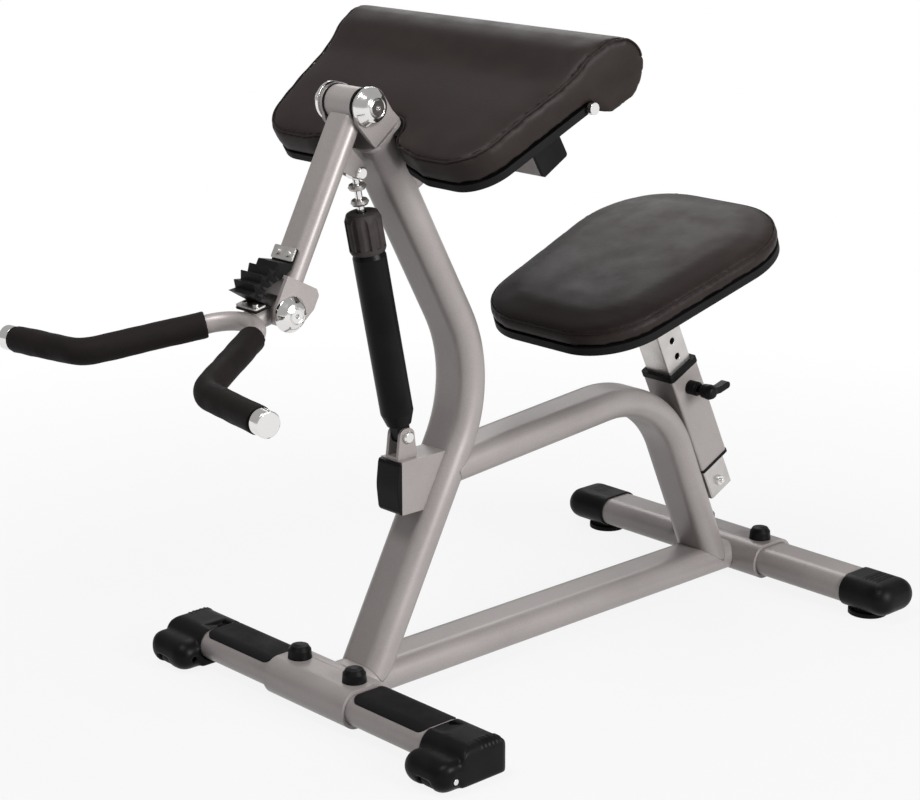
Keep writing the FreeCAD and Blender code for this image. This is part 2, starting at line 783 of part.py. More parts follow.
def wheel(name, side):
    body = piece(new_body(name))
    profile = new_sketch(body, "XZ_Plane")
    half = wheel_wide / 2
    bore = axle_thick / 2 + running_gap
    outline(profile, [(-half, bore), (half, bore), (half, wheel_half * 0.45),
                      (half * 0.7, wheel_half * 0.5), (half * 0.7, wheel_half * 0.7),
                      (half, wheel_half * 0.76), (half, wheel_half, half * 0.36),
                      (-half, wheel_half, half * 0.36), (-half, wheel_half * 0.76),
                      (-half * 0.7, wheel_half * 0.7), (-half * 0.7, wheel_half * 0.5),
                      (-half, wheel_half * 0.45)])
    revolve(body, profile, "H_Axis")
    seat_at(body, wheel_x * side, front_y + wheel_y, wheel_half + wheel_lift)


wheel("wheel_right", 1)
wheel("wheel_left", -1)

# The damper's box bracket sticks out of the upright's front, closed by a crowned cap.
bracket_half = named("bracket_half", 22)
bracket_front = named("bracket_front", 121)
bracket_top = named("bracket_top", 340)
bracket_low = named("bracket_low", 263)
bracket_wall = named("bracket_wall", 3)
bracket_reach = named("bracket_reach", 95)
cap_crown = named("cap_crown", 9)
plug_deep = named("plug_deep", 10)
bracket_stock = new_body("bracket_stock")
box_sketch = new_sketch(bracket_stock, "YZ_Plane")
outline(box_sketch, [(0, bracket_low), (bracket_reach, bracket_low),
                     (bracket_reach, bracket_top), (0, bracket_top)])
pad(bracket_stock, box_sketch, bracket_half * 2)
hollow = new_sketch(bracket_stock, "YZ_Plane")
outline(hollow, [(-overrun, bracket_low + bracket_wall), (bracket_reach + overrun, bracket_low + bracket_wall),
                 (bracket_reach + overrun, bracket_top - bracket_wall),
                 (-overrun, bracket_top - bracket_wall)])
pocket(bracket_stock, hollow, (bracket_half - bracket_wall) * 2)
seat_at(bracket_stock, 0, front_y + bracket_front, 0)
behind_upright = half_space("behind_upright", front_y + upright_foot, crossbar_height,
                            -quarter_turn - lower_lean, reach=tube_wide * 6)
cut_away("cylinder_bracket", bracket_stock, [upright_space, behind_upright])

bracket_cap = piece(new_body("bracket_end_cap"))
crown = new_sketch(bracket_cap, "YZ_Plane")
bracket_high = bracket_top - bracket_low
outline(crown, [(0, 0), (0, bracket_high, cap_crown / 3),
                (-cap_crown * 0.55, bracket_high - cap_crown * 0.4, cap_crown),
                (-cap_crown, bracket_high / 2, bracket_high),
                (-cap_crown * 0.55, cap_crown * 0.4, cap_crown)])
pad(bracket_cap, crown, bracket_half * 2)
plug = new_sketch(bracket_cap, "YZ_Plane")
inside = bracket_wall + loose_gap
outline(plug, [(-cap_crown / 4, inside), (plug_deep, inside), (plug_deep, bracket_high - inside),
               (-cap_crown / 4, bracket_high - inside)])
pad(bracket_cap, plug, (bracket_half - inside) * 2)
seat_at(bracket_cap, 0, front_y + bracket_front, bracket_low)

# A clevis on the bracket holds the damper's lower eye on a shouldered pin.
eye_half = named("eye_half", 11)
foot_eye_wide = named("foot_eye_wide", 16)
ear_thick = named("ear_thick", 4.5)
ear_round = named("ear_round", 12)
clevis_base = named("clevis_base", 4)
clevis_long = named("clevis_long", 34)
pin_thick = named("pin_thick", 10)
pin_head = named("pin_head", 8.5)
pin_head_high = named("pin_head_high", 6)
clevis_half = foot_eye_wide / 2 + loose_gap + ear_thick
clevis_high = damper_foot_height - bracket_top
clevis = piece(new_body("cylinder_clevis"))
ears = new_sketch(clevis, "YZ_Plane")
outline(ears, [(-clevis_long / 2, -clevis_high), (clevis_long / 2, -clevis_high),
               (clevis_long / 2, clevis_base - clevis_high), (ear_round, ear_round, ear_round * 0.9),
               (-ear_round, ear_round, ear_round * 0.9), (-clevis_long / 2, clevis_base - clevis_high)])
circle(ears, 0, 0, pin_thick / 2)
pad(clevis, ears, clevis_half * 2)
slot = new_sketch(clevis, "YZ_Plane")
outline(slot, [(-clevis_long, clevis_base - clevis_high), (clevis_long, clevis_base - clevis_high),
               (clevis_long, clevis_high), (-clevis_long, clevis_high)])
pocket(clevis, slot, foot_eye_wide + loose_gap * 2)
seat_at(clevis, 0, damper_foot_y, damper_foot_height)


def headed_pin(name, thick, half, head, head_high):
    """A pin along X with a head at each end, beyond half on both sides."""
    body = new_body(name)
    profile = new_sketch(body, "XZ_Plane")
    outline(profile, [(-half - head_high, 0), (half + head_high, 0), (half + head_high, head * 0.8),
                      (half + head_high * 0.7, head), (half, head), (half, thick / 2),
                      (-half, thick / 2), (-half, head), (-half - head_high * 0.7, head),
                      (-half - head_high, head * 0.8)])
    revolve(body, profile, "H_Axis")
    return body


cylinder_pin = piece(headed_pin("cylinder_pin", pin_thick, clevis_half, pin_head, pin_head_high))
seat_at(cylinder_pin, 0, damper_foot_y, damper_foot_height)

# Two fork plates stand on the head plate and carry the curl arm's shaft.
barrel_half_thick = named("barrel_half_thick", 23)
barrel_half_long = named("barrel_half_long", 26)
bush_flange = named("bush_flange", 3)
bush_wall = named("bush_wall", 3)
bush_deep = named("bush_deep", 16)
shaft_thick = named("shaft_thick", 16)
fork_inner = barrel_half_long + bush_flange + loose_gap
fork_outer = fork_inner + plate_thick
fork_round = named("fork_round", 24)
fork_front_drop = pivot_height - head_height
fork_run = head_y - pivot_y
fork_plates = piece(new_body("fork_plates"))
fork = new_sketch(fork_plates, "YZ_Plane", fork_inner)
front_foot = named("front_foot_share", 0.5) * head_long * 0.8
rear_foot = named("rear_foot_share", 0.45) * head_long
outline(fork, [
    (fork_run - front_foot * cosine(head_tilt), -fork_front_drop - front_foot * sine(head_tilt)),
    (fork_run + rear_foot * cosine(head_tilt), -fork_front_drop + rear_foot * sine(head_tilt)),
    (fork_round * 1.7, -fork_round * 0.35, fork_round / 4),
    (fork_round * 0.75, fork_round * 1.05, fork_round * 0.75),
    (-fork_round * 1.15, fork_round * 0.65, fork_round * 0.9),
    (-fork_round * 0.75, -fork_round * 0.95, fork_round / 2)])
circle(fork, 0, 0, shaft_thick / 2)
fork_pad = pad(fork_plates, fork, plate_thick, symmetric=False)
mirror(fork_plates, fork_pad)
seat_at(fork_plates, 0, pivot_y, pivot_height)

pivot_shaft = piece(new_body("pivot_shaft"))
shaft = new_sketch(pivot_shaft, "YZ_Plane")
circle(shaft, 0, 0, shaft_thick / 2)
pad(pivot_shaft, shaft, fork_outer * 2)
seat_at(pivot_shaft, 0, pivot_y, pivot_height)


def dome_caps(name, start, half, high, disc):
    """A pair of domed caps with a bolt's socket head in the middle, from start outwards."""
    body = piece(new_body(name))
    profile = new_sketch(body, "XZ_Plane")
    outline(profile, [(start, 0), (start, half), (start + high * 0.25, half, high * 0.1),
                      (start + high * 0.8, half * 0.72, high * 0.5),
                      (start + high * 0.95, disc * 1.2), (start + high * 0.9, disc * 1.1),
                      (start + high * 0.9, disc), (start + high, disc * 0.95),
                      (start + high, disc * 0.3), (start + high * 0.7, disc * 0.3),
                      (start + high * 0.7, 0)])
    cap = revolve(body, profile, "H_Axis")
    mirror(body, cap)
    return body


pivot_cap_half = named("pivot_cap_half", 26)
pivot_cap_high = named("pivot_cap_high", 19)
pivot_disc = named("pivot_disc", 11)
pivot_caps = dome_caps("pivot_caps", fork_outer, pivot_cap_half, pivot_cap_high, pivot_disc)
seat_at(pivot_caps, 0, pivot_y, pivot_height)

# The curl arm hangs from its barrel: oval tube, damper tab and a forked end.
arm_wide = named("arm_wide", 52)
arm_thick = named("arm_thick", 28)
arm_wall = named("arm_wall", 2)
web_place = arm_length - named("web_above", 44)
clamp_above = named("clamp_above", 72)
web_thick = named("web_thick", 5)


def barrel(name, half_thick, half_long, bore_half):
    body = piece(new_body(name))
    ring = new_sketch(body, "YZ_Plane")
    circle(ring, 0, 0, half_thick)
    circle(ring, 0, 0, bore_half)
    pad(body, ring, half_long * 2)
    return body


arm_barrel = barrel("arm_barrel", barrel_half_thick, barrel_half_long, shaft_thick / 2 + bush_wall)
seat_at(arm_barrel, 0, pivot_y, pivot_height)
bushes = piece(new_body("barrel_bushes"))
bush = new_sketch(bushes, "XZ_Plane")
bush_bore = shaft_thick / 2 + running_gap
outline(bush, [(barrel_half_long - bush_deep, bush_bore), (fork_inner - loose_gap, bush_bore),
               (fork_inner - loose_gap, barrel_half_thick * 1.06),
               (barrel_half_long, barrel_half_thick * 1.06),
               (barrel_half_long, shaft_thick / 2 + bush_wall),
               (barrel_half_long - bush_deep, shaft_thick / 2 + bush_wall)])
bush_turn = revolve(bushes, bush, "H_Axis")
mirror(bushes, bush_turn)
seat_at(bushes, 0, pivot_y, pivot_height)

arm_tube = piece(new_body("arm_tube"))
arm_section = new_sketch(arm_tube, "XY_Plane")
oval(arm_section, arm_wide, arm_thick)
oval(arm_section, arm_wide - arm_wall * 2, arm_thick - arm_wall * 2)
pad(arm_tube, arm_section, web_place, symmetric=False, reverse=True)
cope = new_sketch(arm_tube, "YZ_Plane")
circle(cope, 0, 0, barrel_half_thick)
pocket(arm_tube, cope, arm_wide * 2)
seat_at(arm_tube, 0, pivot_y, pivot_height, -arm_lean)

tab_eye_wide = named("tab_eye_wide", 12)
tab_gap = named("tab_gap", 1)
tab_round = named("tab_round", 8.6)
tab_half = tab_eye_wide / 2 + tab_gap + ear_thick
arm_tab = piece(new_body("arm_tab"))
tab_sketch = new_sketch(arm_tab, "YZ_Plane")
outline(tab_sketch, [(arm_thick / 2, -tab_drop - tab_round),
                     (arm_thick / 2, -tab_drop + tab_round * 2.9),
                     (tab_back + tab_round, -tab_drop + tab_round * 1.3, tab_round),
                     (tab_back + tab_round, -tab_drop - tab_round, tab_round * 0.95)])
circle(tab_sketch, tab_back, -tab_drop, pin_thick / 2)
tab_pad = pad(arm_tab, tab_sketch, tab_half * 2)
tab_slot = new_sketch(arm_tab, "YZ_Plane")
outline(tab_slot, [(arm_thick / 2 - overrun, -tab_drop - overrun * 2),
                   (tab_back + overrun, -tab_drop - overrun * 2),
                   (tab_back + overrun, -tab_drop + overrun * 2),
                   (arm_thick / 2 - overrun, -tab_drop + overrun * 2)])
pocket(arm_tab, tab_slot, (tab_half - ear_thick) * 2)
seat_at(arm_tab, 0, pivot_y, pivot_height, -arm_lean)

# Each of the tab's ears holds one end of the damper's upper pin.
tab_pin = piece(new_body("tab_bolt"))
half_pin = new_sketch(tab_pin, "XZ_Plane")
ear_in = tab_half - ear_thick
outline(half_pin, [(ear_in, 0), (tab_half + pin_head_high, 0),
                   (tab_half + pin_head_high, pin_head * 0.8),
                   (tab_half + pin_head_high * 0.7, pin_head), (tab_half, pin_head),
                   (tab_half, pin_thick / 2), (ear_in, pin_thick / 2)])
pin_turn = revolve(tab_pin, half_pin, "H_Axis")
mirror(tab_pin, pin_turn)
seat_at(tab_pin, 0, tab_y, tab_height)

hinge_shaft_thick = named("hinge_shaft_thick", 14)
leg_inner = named("leg_inner", 24)
leg_thick = named("leg_thick", 6)
fork_web = arm_length - web_place
fork_reach = named("fork_reach", 24)
fork_back = named("fork_back", 36)
arm_fork = piece(new_body("arm_fork"))
legs = new_sketch(arm_fork, "YZ_Plane")
outline(legs, [(-fork_reach, fork_web), (-fork_reach, -fork_reach * 0.4, fork_reach * 0.9),
               (0, -fork_reach, fork_reach * 0.8), (fork_reach, -fork_reach * 0.4, fork_reach * 0.7),
               (fork_back, fork_web * 0.4, leg_thick), (fork_back, fork_web * 0.85, leg_thick),
               (fork_back * 0.8, fork_web)])
circle(legs, 0, 0, hinge_shaft_thick / 2)
pad(arm_fork, legs, (leg_inner + leg_thick) * 2)
between = new_sketch(arm_fork, "YZ_Plane")
outline(between, [(-fork_reach * 2, -fork_reach * 2), (fork_back * 2, -fork_reach * 2),
                  (fork_back * 2, fork_web - web_thick), (-fork_reach * 2, fork_web - web_thick)])
pocket(arm_fork, between, leg_inner * 2)
seat_at(arm_fork, 0, hinge_y, hinge_height, -arm_lean)

hinge_shaft = piece(new_body("hinge_shaft"))
hinge_ring = new_sketch(hinge_shaft, "YZ_Plane")
circle(hinge_ring, 0, 0, hinge_shaft_thick / 2)
pad(hinge_shaft, hinge_ring, (leg_inner + leg_thick) * 2)
seat_at(hinge_shaft, 0, hinge_y, hinge_height)
hinge_cap_half = named("hinge_cap_half", 24)
hinge_cap_high = named("hinge_cap_high", 16)
hinge_disc = named("hinge_disc", 9.5)
hinge_caps = dome_caps("hinge_caps", leg_inner + leg_thick, hinge_cap_half, hinge_cap_high,
                       hinge_disc)
seat_at(hinge_caps, 0, hinge_y, hinge_height)

# The handle turns on the lower hinge: barrel, stem and a bent bar with two grips.
handle_tilt = named("handle_tilt", 11.8)
handle_barrel_half = named("handle_barrel_half", 19)
bar_thick = named("bar_thick", 25)
bar_wall = named("bar_wall", 2)
stem_thick = named("stem_thick", 30)
bar_middle = named("bar_middle", -9.6)
bar_lift = named("bar_lift", 0.5)
bar_elbow_x = named("bar_elbow_x", 127.5)
bar_elbow_y = named("bar_elbow_y", 226.1)
bar_end_x = named("bar_end_x", 271.9)
bar_end_y = named("bar_end_y", 243.9)
bar_elbow_bend = named("bar_elbow_bend", 45)
bar_middle_bend = named("bar_middle_bend", 54)
bar_spread = slope(bar_elbow_y, bar_elbow_x)
bar_apex = bar_middle + bar_middle_bend / cosine(bar_spread) - bar_middle_bend
handle_barrel = barrel("handle_barrel", handle_barrel_half, leg_inner - loose_gap,
                       hinge_shaft_thick / 2 + running_gap)
seat_at(handle_barrel, 0, hinge_y, hinge_height)


def bar_point(x, y, *rounding):
    return (x, -bar_middle - y) + rounding


def bar_pipe(name, points, radii, end_x, end_y, side=1):
    """A round tube along the bar from its right-hand end to the last of the points."""
    body = new_body(name)
    spine = new_sketch(body, "XY_Plane", bar_lift)
    outline(spine, points, closed=False)
    section = new_sketch(body, "YZ_Plane")
    leg_angle = slope(bar_end_y - bar_elbow_y, bar_end_x - bar_elbow_x)
    section.AttachmentOffset = FreeCAD.Placement(
        Vector(number_of(-bar_middle - end_y), number_of(bar_lift), number_of(end_x)),
        Rotation(Vector(0, 1, 0), -number_of(leg_angle)))
    bind(section, "AttachmentOffset.Base.x", -bar_middle - end_y)
    bind(section, "AttachmentOffset.Base.y", bar_lift)
    bind(section, "AttachmentOffset.Base.z", end_x)
    bind(section, "AttachmentOffset.Rotation.Angle", -leg_angle)
    for radius in radii:
        circle(section, 0, 0, radius)
    sweep(body, section, spine)
    seat_at(body, 0, hinge_y, hinge_height, handle_tilt)
    return body


bar_tube = bar_pipe("bar_tube", [
    bar_point(bar_end_x, bar_end_y), bar_point(bar_elbow_x, bar_elbow_y, bar_elbow_bend),
    bar_point(0, 0, bar_middle_bend), bar_point(-bar_elbow_x, bar_elbow_y, bar_elbow_bend),
    bar_point(-bar_end_x, bar_end_y)],
    [bar_thick / 2, bar_thick / 2 - bar_wall], bar_end_x, bar_end_y)
stem = new_body("stem")
stem_ring = new_sketch(stem, "XZ_Plane")
circle(stem_ring, 0, bar_lift / 2, stem_thick / 2)
pad(stem, stem_ring, bar_apex, symmetric=False)
stem_cope = new_sketch(stem, "YZ_Plane")
circle(stem_cope, 0, 0, handle_barrel_half)
pocket(stem, stem_cope, stem_thick * 2)
seat_at(stem, 0, hinge_y, hinge_height, handle_tilt)
handle_bars = doc.addObject("Part::Fuse", "handle_weldment")
handle_bars.Base = bar_tube
handle_bars.Tool = stem
piece(handle_bars, "handle_bars")

foam_half = named("foam_half", 17.8)
foam_start = named("foam_start_share", 0.38)
foam_end_x = named("foam_end_x", 255)
foam_end_y = bar_elbow_y + (bar_end_y - bar_elbow_y) / (bar_end_x - bar_elbow_x) * (foam_end_x - bar_elbow_x)
foam = bar_pipe("foam", [
    bar_point(foam_end_x, foam_end_y), bar_point(bar_elbow_x, bar_elbow_y, bar_elbow_bend),
    bar_point(bar_elbow_x * foam_start, bar_elbow_y * foam_start)],
    [foam_half, bar_thick / 2 + loose_gap / 2], foam_end_x, foam_end_y)
mirror(foam, foam.Tip)
piece(foam, "foam_grips")

plug_half = named("plug_half", 16.5)
plug_long = named("plug_long", 18)
end_angle = slope(bar_end_y - bar_elbow_y, bar_end_x - bar_elbow_x)
handle_plugs = piece(new_body("handle_plugs"))
plug_profile = new_sketch(handle_plugs, "XY_Plane", bar_lift)
plug_start = Vector(number_of(bar_end_x), number_of(-bar_middle - bar_end_y), number_of(bar_lift))
plug_profile.AttachmentOffset = FreeCAD.Placement(
    plug_start, Rotation(Vector(0, 0, 1), -number_of(end_angle)))
bind(plug_profile, "AttachmentOffset.Base.x", bar_end_x)
bind(plug_profile, "AttachmentOffset.Base.y", -bar_middle - bar_end_y)
bind(plug_profile, "AttachmentOffset.Base.z", bar_lift)
bind(plug_profile, "AttachmentOffset.Rotation.Angle", -end_angle)
plug_inner = bar_thick / 2 - bar_wall - loose_gap
outline(plug_profile, [(-plug_long, 0), (plug_long * 0.15, 0), (plug_long * 0.15, plug_half * 0.92),
                       (plug_long * 0.1, plug_half), (-plug_long * 0.75, plug_half),
                       (-plug_long * 0.75, foam_half * 0.2 + bar_thick / 2), (0, bar_thick / 2),
                       (0, plug_inner), (-plug_long, plug_inner)])
plug_turn = revolve(handle_plugs, plug_profile, "H_Axis")
mirror(handle_plugs, plug_turn)
seat_at(handle_plugs, 0, hinge_y, hinge_height, handle_tilt)

# A pleated rubber bellows fans round the hinge, held by a screwed plate at each end.
bellows_half = named("bellows_half", 21)
bellows_outer = named("bellows_outer", 68)
bellows_inner = named("bellows_inner", 42)
bellows_thick = named("bellows_thick", 4)
bellows_first = named("bellows_first", 29)
bellows_step = named("bellows_step", 13.3)
bellows_pleats = 5
clamp_thick = named("clamp_thick", 2.5)
clamp_long = named("clamp_long", 18)
clamp_wide = named("clamp_wide", 42)
screw_half = named("screw_half", 4)


def fan_point(reach, angle):
    return (-reach * cosine(angle), reach * sine(angle))


def flap_point(lean, along, above):
    """A point along and above a member that leaves the hinge at a lean from the front."""
    return (-along * cosine(lean) - above * sine(lean), above * cosine(lean) - along * sine(lean))


def arm_point(along, above):
    return (along * sine(arm_lean) - above * cosine(arm_lean),
            along * cosine(arm_lean) + above * sine(arm_lean))


bellows = piece(new_body("bellows"))
pleats = new_sketch(bellows, "YZ_Plane")
front_line = []
back_line = []
stem_face = bar_lift / 2 + stem_thick / 2
arm_face = arm_thick / 2
clamp_low_place = bar_apex - clamp_long * 0.6
for pleat in range(bellows_pleats):
    tip = bellows_first + bellows_step * pleat
    front_line.append(fan_point(bellows_outer, tip))
    back_line.append(fan_point(bellows_outer - bellows_thick * 2.2, tip + bellows_step * 0.04))
    if pleat < bellows_pleats - 1:
        front_line.append(fan_point(bellows_inner + bellows_thick, tip + bellows_step * 0.62))
        back_line.append(fan_point(bellows_inner, tip + bellows_step * 0.62))
flap_low = [flap_point(handle_tilt, clamp_low_place - clamp_long, stem_face),
            flap_point(handle_tilt, clamp_low_place + clamp_long / 2, stem_face),
            flap_point(handle_tilt, clamp_low_place + clamp_long / 2, stem_face + bellows_thick),
            flap_point(handle_tilt, clamp_low_place - clamp_long * 0.8, stem_face + bellows_thick)]
flap_top = [arm_point(clamp_above - clamp_long * 0.6, arm_face + bellows_thick),
            arm_point(clamp_above + clamp_long / 2, arm_face + bellows_thick),
            arm_point(clamp_above + clamp_long / 2, arm_face),
            arm_point(clamp_above - clamp_long, arm_face)]
outline(pleats, flap_low + front_line + flap_top + back_line[::-1])
pad(bellows, pleats, bellows_half * 2)
seat_at(bellows, 0, hinge_y, hinge_height)


def bellows_clamp(name, y, z, tilt):
    """A flat plate with two screw heads, its back on the plane z, centred at y."""
    body = piece(new_body(name))
    plate = new_sketch(body, "XY_Plane", z)
    square(plate, clamp_wide, clamp_long, clamp_thick, 0, y)
    pad(body, plate, clamp_thick, symmetric=False)
    heads = new_sketch(body, "XY_Plane", z + clamp_thick)
    circle(heads, clamp_wide / 4, y, screw_half)
    circle(heads, -clamp_wide / 4, y, screw_half)
    pad(body, heads, clamp_thick, symmetric=False)
    seat_at(body, 0, hinge_y, hinge_height, tilt)


bellows_clamp("bellows_clamp_top", clamp_above, arm_face + bellows_thick,
              quarter_turn - arm_lean)
bellows_clamp("bellows_clamp_low", -clamp_low_place, stem_face + bellows_thick, handle_tilt)

# The damper: a sealed body on the lower pin, a rod with two stop rings and a knob.
body_half = named("body_half", 23)
body_start = named("body_start", 18)
body_end = named("body_end", 272)
neck_half = named("neck_half", 11)
rod_half = named("rod_half", 5)
knob_half = named("knob_half", 25)
knob_end = named("knob_end", 328)
rod_low = named("rod_low", 130)
ring_half = named("ring_half", 12.5)
ring_high = named("ring_high", 7)
ring_place = named("ring_place", 20.5)
ring_other = named("ring_other", 42)
damper_body = piece(new_body("cylinder_body"))
sleeve = new_sketch(damper_body, "XZ_Plane")
knob_neck_end = knob_end - (knob_end - body_end) * 0.4
rod_bore = rod_half + running_gap
outline(sleeve, [(0, body_start), (body_half * 0.75, body_start), (body_half, body_start * 2),
                 (body_half, body_end - body_half * 0.3), (body_half * 0.9, body_end),
                 (neck_half, body_end), (neck_half, knob_neck_end), (rod_bore, knob_neck_end),
                 (rod_bore, rod_low - rod_half), (0, rod_low - rod_half)])
revolve(damper_body, sleeve, "V_Axis")
eye = new_sketch(damper_body, "YZ_Plane")
outline(eye, [(-eye_half, -eye_half, eye_half * 0.95), (eye_half, -eye_half, eye_half * 0.95),
              (eye_half, body_start), (-eye_half, body_start)])
pad(damper_body, eye, foot_eye_wide)
eye_bore = new_sketch(damper_body, "YZ_Plane")
circle(eye_bore, 0, 0, pin_thick / 2 + running_gap)
pocket(damper_body, eye_bore, foot_eye_wide * 2)
seat_at(damper_body, 0, damper_foot_y, damper_foot_height, damper_lean)

knob = piece(new_body("adjuster_knob"))
knob_profile = new_sketch(knob, "XZ_Plane")
knob_start = body_end + loose_gap
outline(knob_profile, [(neck_half + running_gap, knob_start), (knob_half * 0.94, knob_start),
                       (knob_half, knob_start + ring_high / 2), (knob_half, knob_end - ring_high * 1.4),
                       (knob_half * 0.86, knob_end - ring_high * 0.2), (knob_half * 0.7, knob_end),
                       (rod_half * 1.4, knob_end), (rod_half * 1.4, knob_neck_end + loose_gap),
                       (neck_half + running_gap, knob_neck_end + loose_gap)])
revolve(knob, knob_profile, "V_Axis")
flute = new_sketch(knob, "XY_Plane", knob_start + ring_high)
circle(flute, knob_half * 1.09, 0, knob_half * 0.2)
flute_cut = pocket(knob, flute, knob_end - knob_start, symmetric=False, reverse=True)
flutes = knob.newObject("PartDesign::PolarPattern", "flutes")
flutes.Originals = [flute_cut]
flutes.Axis = (flute, ["N_Axis"])
flutes.Angle = 360
flutes.Occurrences = 10
knob.Tip = flutes
seat_at(knob, 0, damper_foot_y, damper_foot_height, damper_lean)

rod = piece(new_body("piston_rod"))
rod_profile = new_sketch(rod, "XZ_Plane")
outline(rod_profile, [(0, -damper_length + rod_low), (rod_half, -damper_length + rod_low),
                      (rod_half, -eye_half * 0.6), (0, -eye_half * 0.6)])
revolve(rod, rod_profile, "V_Axis")
rod_eye = new_sketch(rod, "YZ_Plane")
circle(rod_eye, 0, 0, eye_half * 0.95)
pad(rod, rod_eye, tab_eye_wide)
seat_at(rod, 0, tab_y, tab_height, damper_lean)

stop_rings = piece(new_body("stop_rings"))
rings = new_sketch(stop_rings, "XZ_Plane")
for place in (ring_place, ring_other):
    outline(rings, [(rod_half, -place - ring_high / 2), (ring_half * 0.85, -place - ring_high / 2),
                    (ring_half, -place), (ring_half * 0.85, -place + ring_high / 2),
                    (rod_half, -place + ring_high / 2)])
revolve(stop_rings, rings, "V_Axis")
seat_at(stop_rings, 0, tab_y, tab_height, damper_lean)

# The preacher pad's carrier: a cross tube on a short neck from the upright.
pad_under = named("pad_under", 53)
carrier_wide = named("carrier_wide", 50)
carrier_half = named("carrier_half", 200)
carrier_middle = -named("carrier_middle", 27)
carrier_wall = named("carrier_wall", 2.5)
carrier = new_body("carrier_tube")
carrier_section = new_sketch(carrier, "YZ_Plane")
carrier_low = -pad_under - carrier_wide / 2
square(carrier_section, carrier_wide, carrier_wide, square_round, carrier_middle, carrier_low)
inner_wide = carrier_wide - carrier_wall * 2
square(carrier_section, inner_wide, inner_wide, square_round / 2, carrier_middle, carrier_low)
pad(carrier, carrier_section, carrier_half * 2)
neck = new_sketch(carrier, "XZ_Plane", -carrier_middle + carrier_wide / 2)
square(neck, carrier_wide, carrier_wide, square_round, 0, carrier_low)
square(neck, inner_wide, inner_wide, square_round / 2, 0, carrier_low)
neck_long = named("neck_long", 85)
pad(carrier, neck, neck_long, symmetric=False)
seat_at(carrier, 0, preacher_y, preacher_height, preacher_tilt)
cut_away("pad_support", carrier, [upright_space])

support_caps = piece(new_body("support_end_caps"))
cap_plate = new_sketch(support_caps, "YZ_Plane", carrier_half)
square(cap_plate, carrier_wide, carrier_wide, square_round, carrier_middle, carrier_low)
cap_face = pad(support_caps, cap_plate, cap_crown / 2, symmetric=False)
cap_plug = new_sketch(support_caps, "YZ_Plane", carrier_half + cap_crown / 4)
plug_wide = inner_wide - loose_gap
square(cap_plug, plug_wide, plug_wide, square_round / 2, carrier_middle, carrier_low)
plug_pad = pad(support_caps, cap_plug, plug_deep, symmetric=False, reverse=True)
mirror(support_caps, cap_face).Originals = [cap_face, plug_pad]
seat_at(support_caps, 0, preacher_y, preacher_height, preacher_tilt)

# The preacher pad: a black board and a cushion that rolls over its rear edge.
board_thick = named("board_thick", 11)
pad_front = named("pad_front", 158)
pad_half = named("pad_half", 239.5)
pad_flare = named("pad_flare", 0.174)
pad_round = named("pad_round", 62)
roll_place = named("roll_place", 88)
roll_half = named("roll_half", 47)
roll_lift = named("roll_lift", 15.5)
notch_half = named("notch_half", 43)
notch_mouth = named("notch_mouth", 108)
notch_deep = named("notch_deep", 61)
notch_round = named("notch_round", 24)
crown_rise = named("crown_rise", 3)


def pad_plan(sketch, inset, rear):
    """The pad's outline from above, drawn in by inset, flared towards its rear."""
    front = -pad_front + inset
    side = pad_half - inset
    narrow = side - pad_flare * pad_front
    wide = side + pad_flare * rear
    apex = -pad_front + notch_deep + inset
    gap = notch_half + inset
    lip = -pad_front + notch_deep * 0.35
    outline(sketch, [
        (-narrow, front, pad_round - inset), (-notch_mouth, front, notch_mouth * 0.4),
        (-gap, lip, notch_round), (-gap, apex, notch_round + inset), (gap, apex, notch_round + inset),
        (gap, lip, notch_round), (notch_mouth, front, notch_mouth * 0.4),
        (narrow, front, pad_round - inset), (wide, rear), (-wide, rear)])


board_rear = named("board_rear", 40)
board_inset = named("board_inset", 3)
board = piece(new_body("preacher_base"))
board_sketch = new_sketch(board, "XY_Plane", -pad_under)
pad_plan(board_sketch, board_inset, board_rear)
pad(board, board_sketch, board_thick - loose_gap / 2, symmetric=False)
seat_at(board, 0, preacher_y, preacher_height, preacher_tilt)

cushion_low = pad_under - board_thick
cushion_plan = new_body("cushion_plan")
draws = [(-pad_under - roll_half, board_inset), (-cushion_low, board_inset),
         (-cushion_low * 0.72, 0), (-cushion_low * 0.3, 0), (roll_lift * 2, board_inset)]
plans = []
for level, inset in draws:
    plan = new_sketch(cushion_plan, "XY_Plane", level)
    pad_plan(plan, inset, roll_place + roll_half)
    plans.append(plan)
loft = cushion_plan.newObject("PartDesign::AdditiveLoft", "cushion_loft")
loft.Profile = plans[0]
loft.Sections = plans[1:]
loft.Ruled = True
cushion_side = new_body("cushion_side")
side = new_sketch(cushion_side, "YZ_Plane")
rear = roll_place + roll_half
top_turn = roll_half * 0.97
outline(side, [(-pad_front, -cushion_low), (board_rear + loose_gap, -cushion_low),
               (board_rear + loose_gap, roll_lift - roll_half * 2, roll_half * 0.7),
               (rear, roll_lift - roll_half * 2, top_turn), (rear, roll_lift, top_turn),
               (board_rear + roll_half * 0.5, roll_lift, roll_half * 0.5),
               (board_rear - roll_half * 0.5, crown_rise, roll_half * 1.5),
               (-pad_front * 0.3, crown_rise, pad_front * 2),
               (-pad_front, -crown_rise, roll_half * 0.3)])
pad(cushion_side, side, (pad_half + overrun) * 2)
cushion = doc.addObject("Part::Common", "preacher_cushion")
cushion.Base = cushion_plan
cushion.Tool = cushion_side
seat_at(cushion_plan, 0, preacher_y, preacher_height, preacher_tilt)
seat_at(cushion_side, 0, preacher_y, preacher_height, preacher_tilt)
piece(cushion, "preacher_pad")

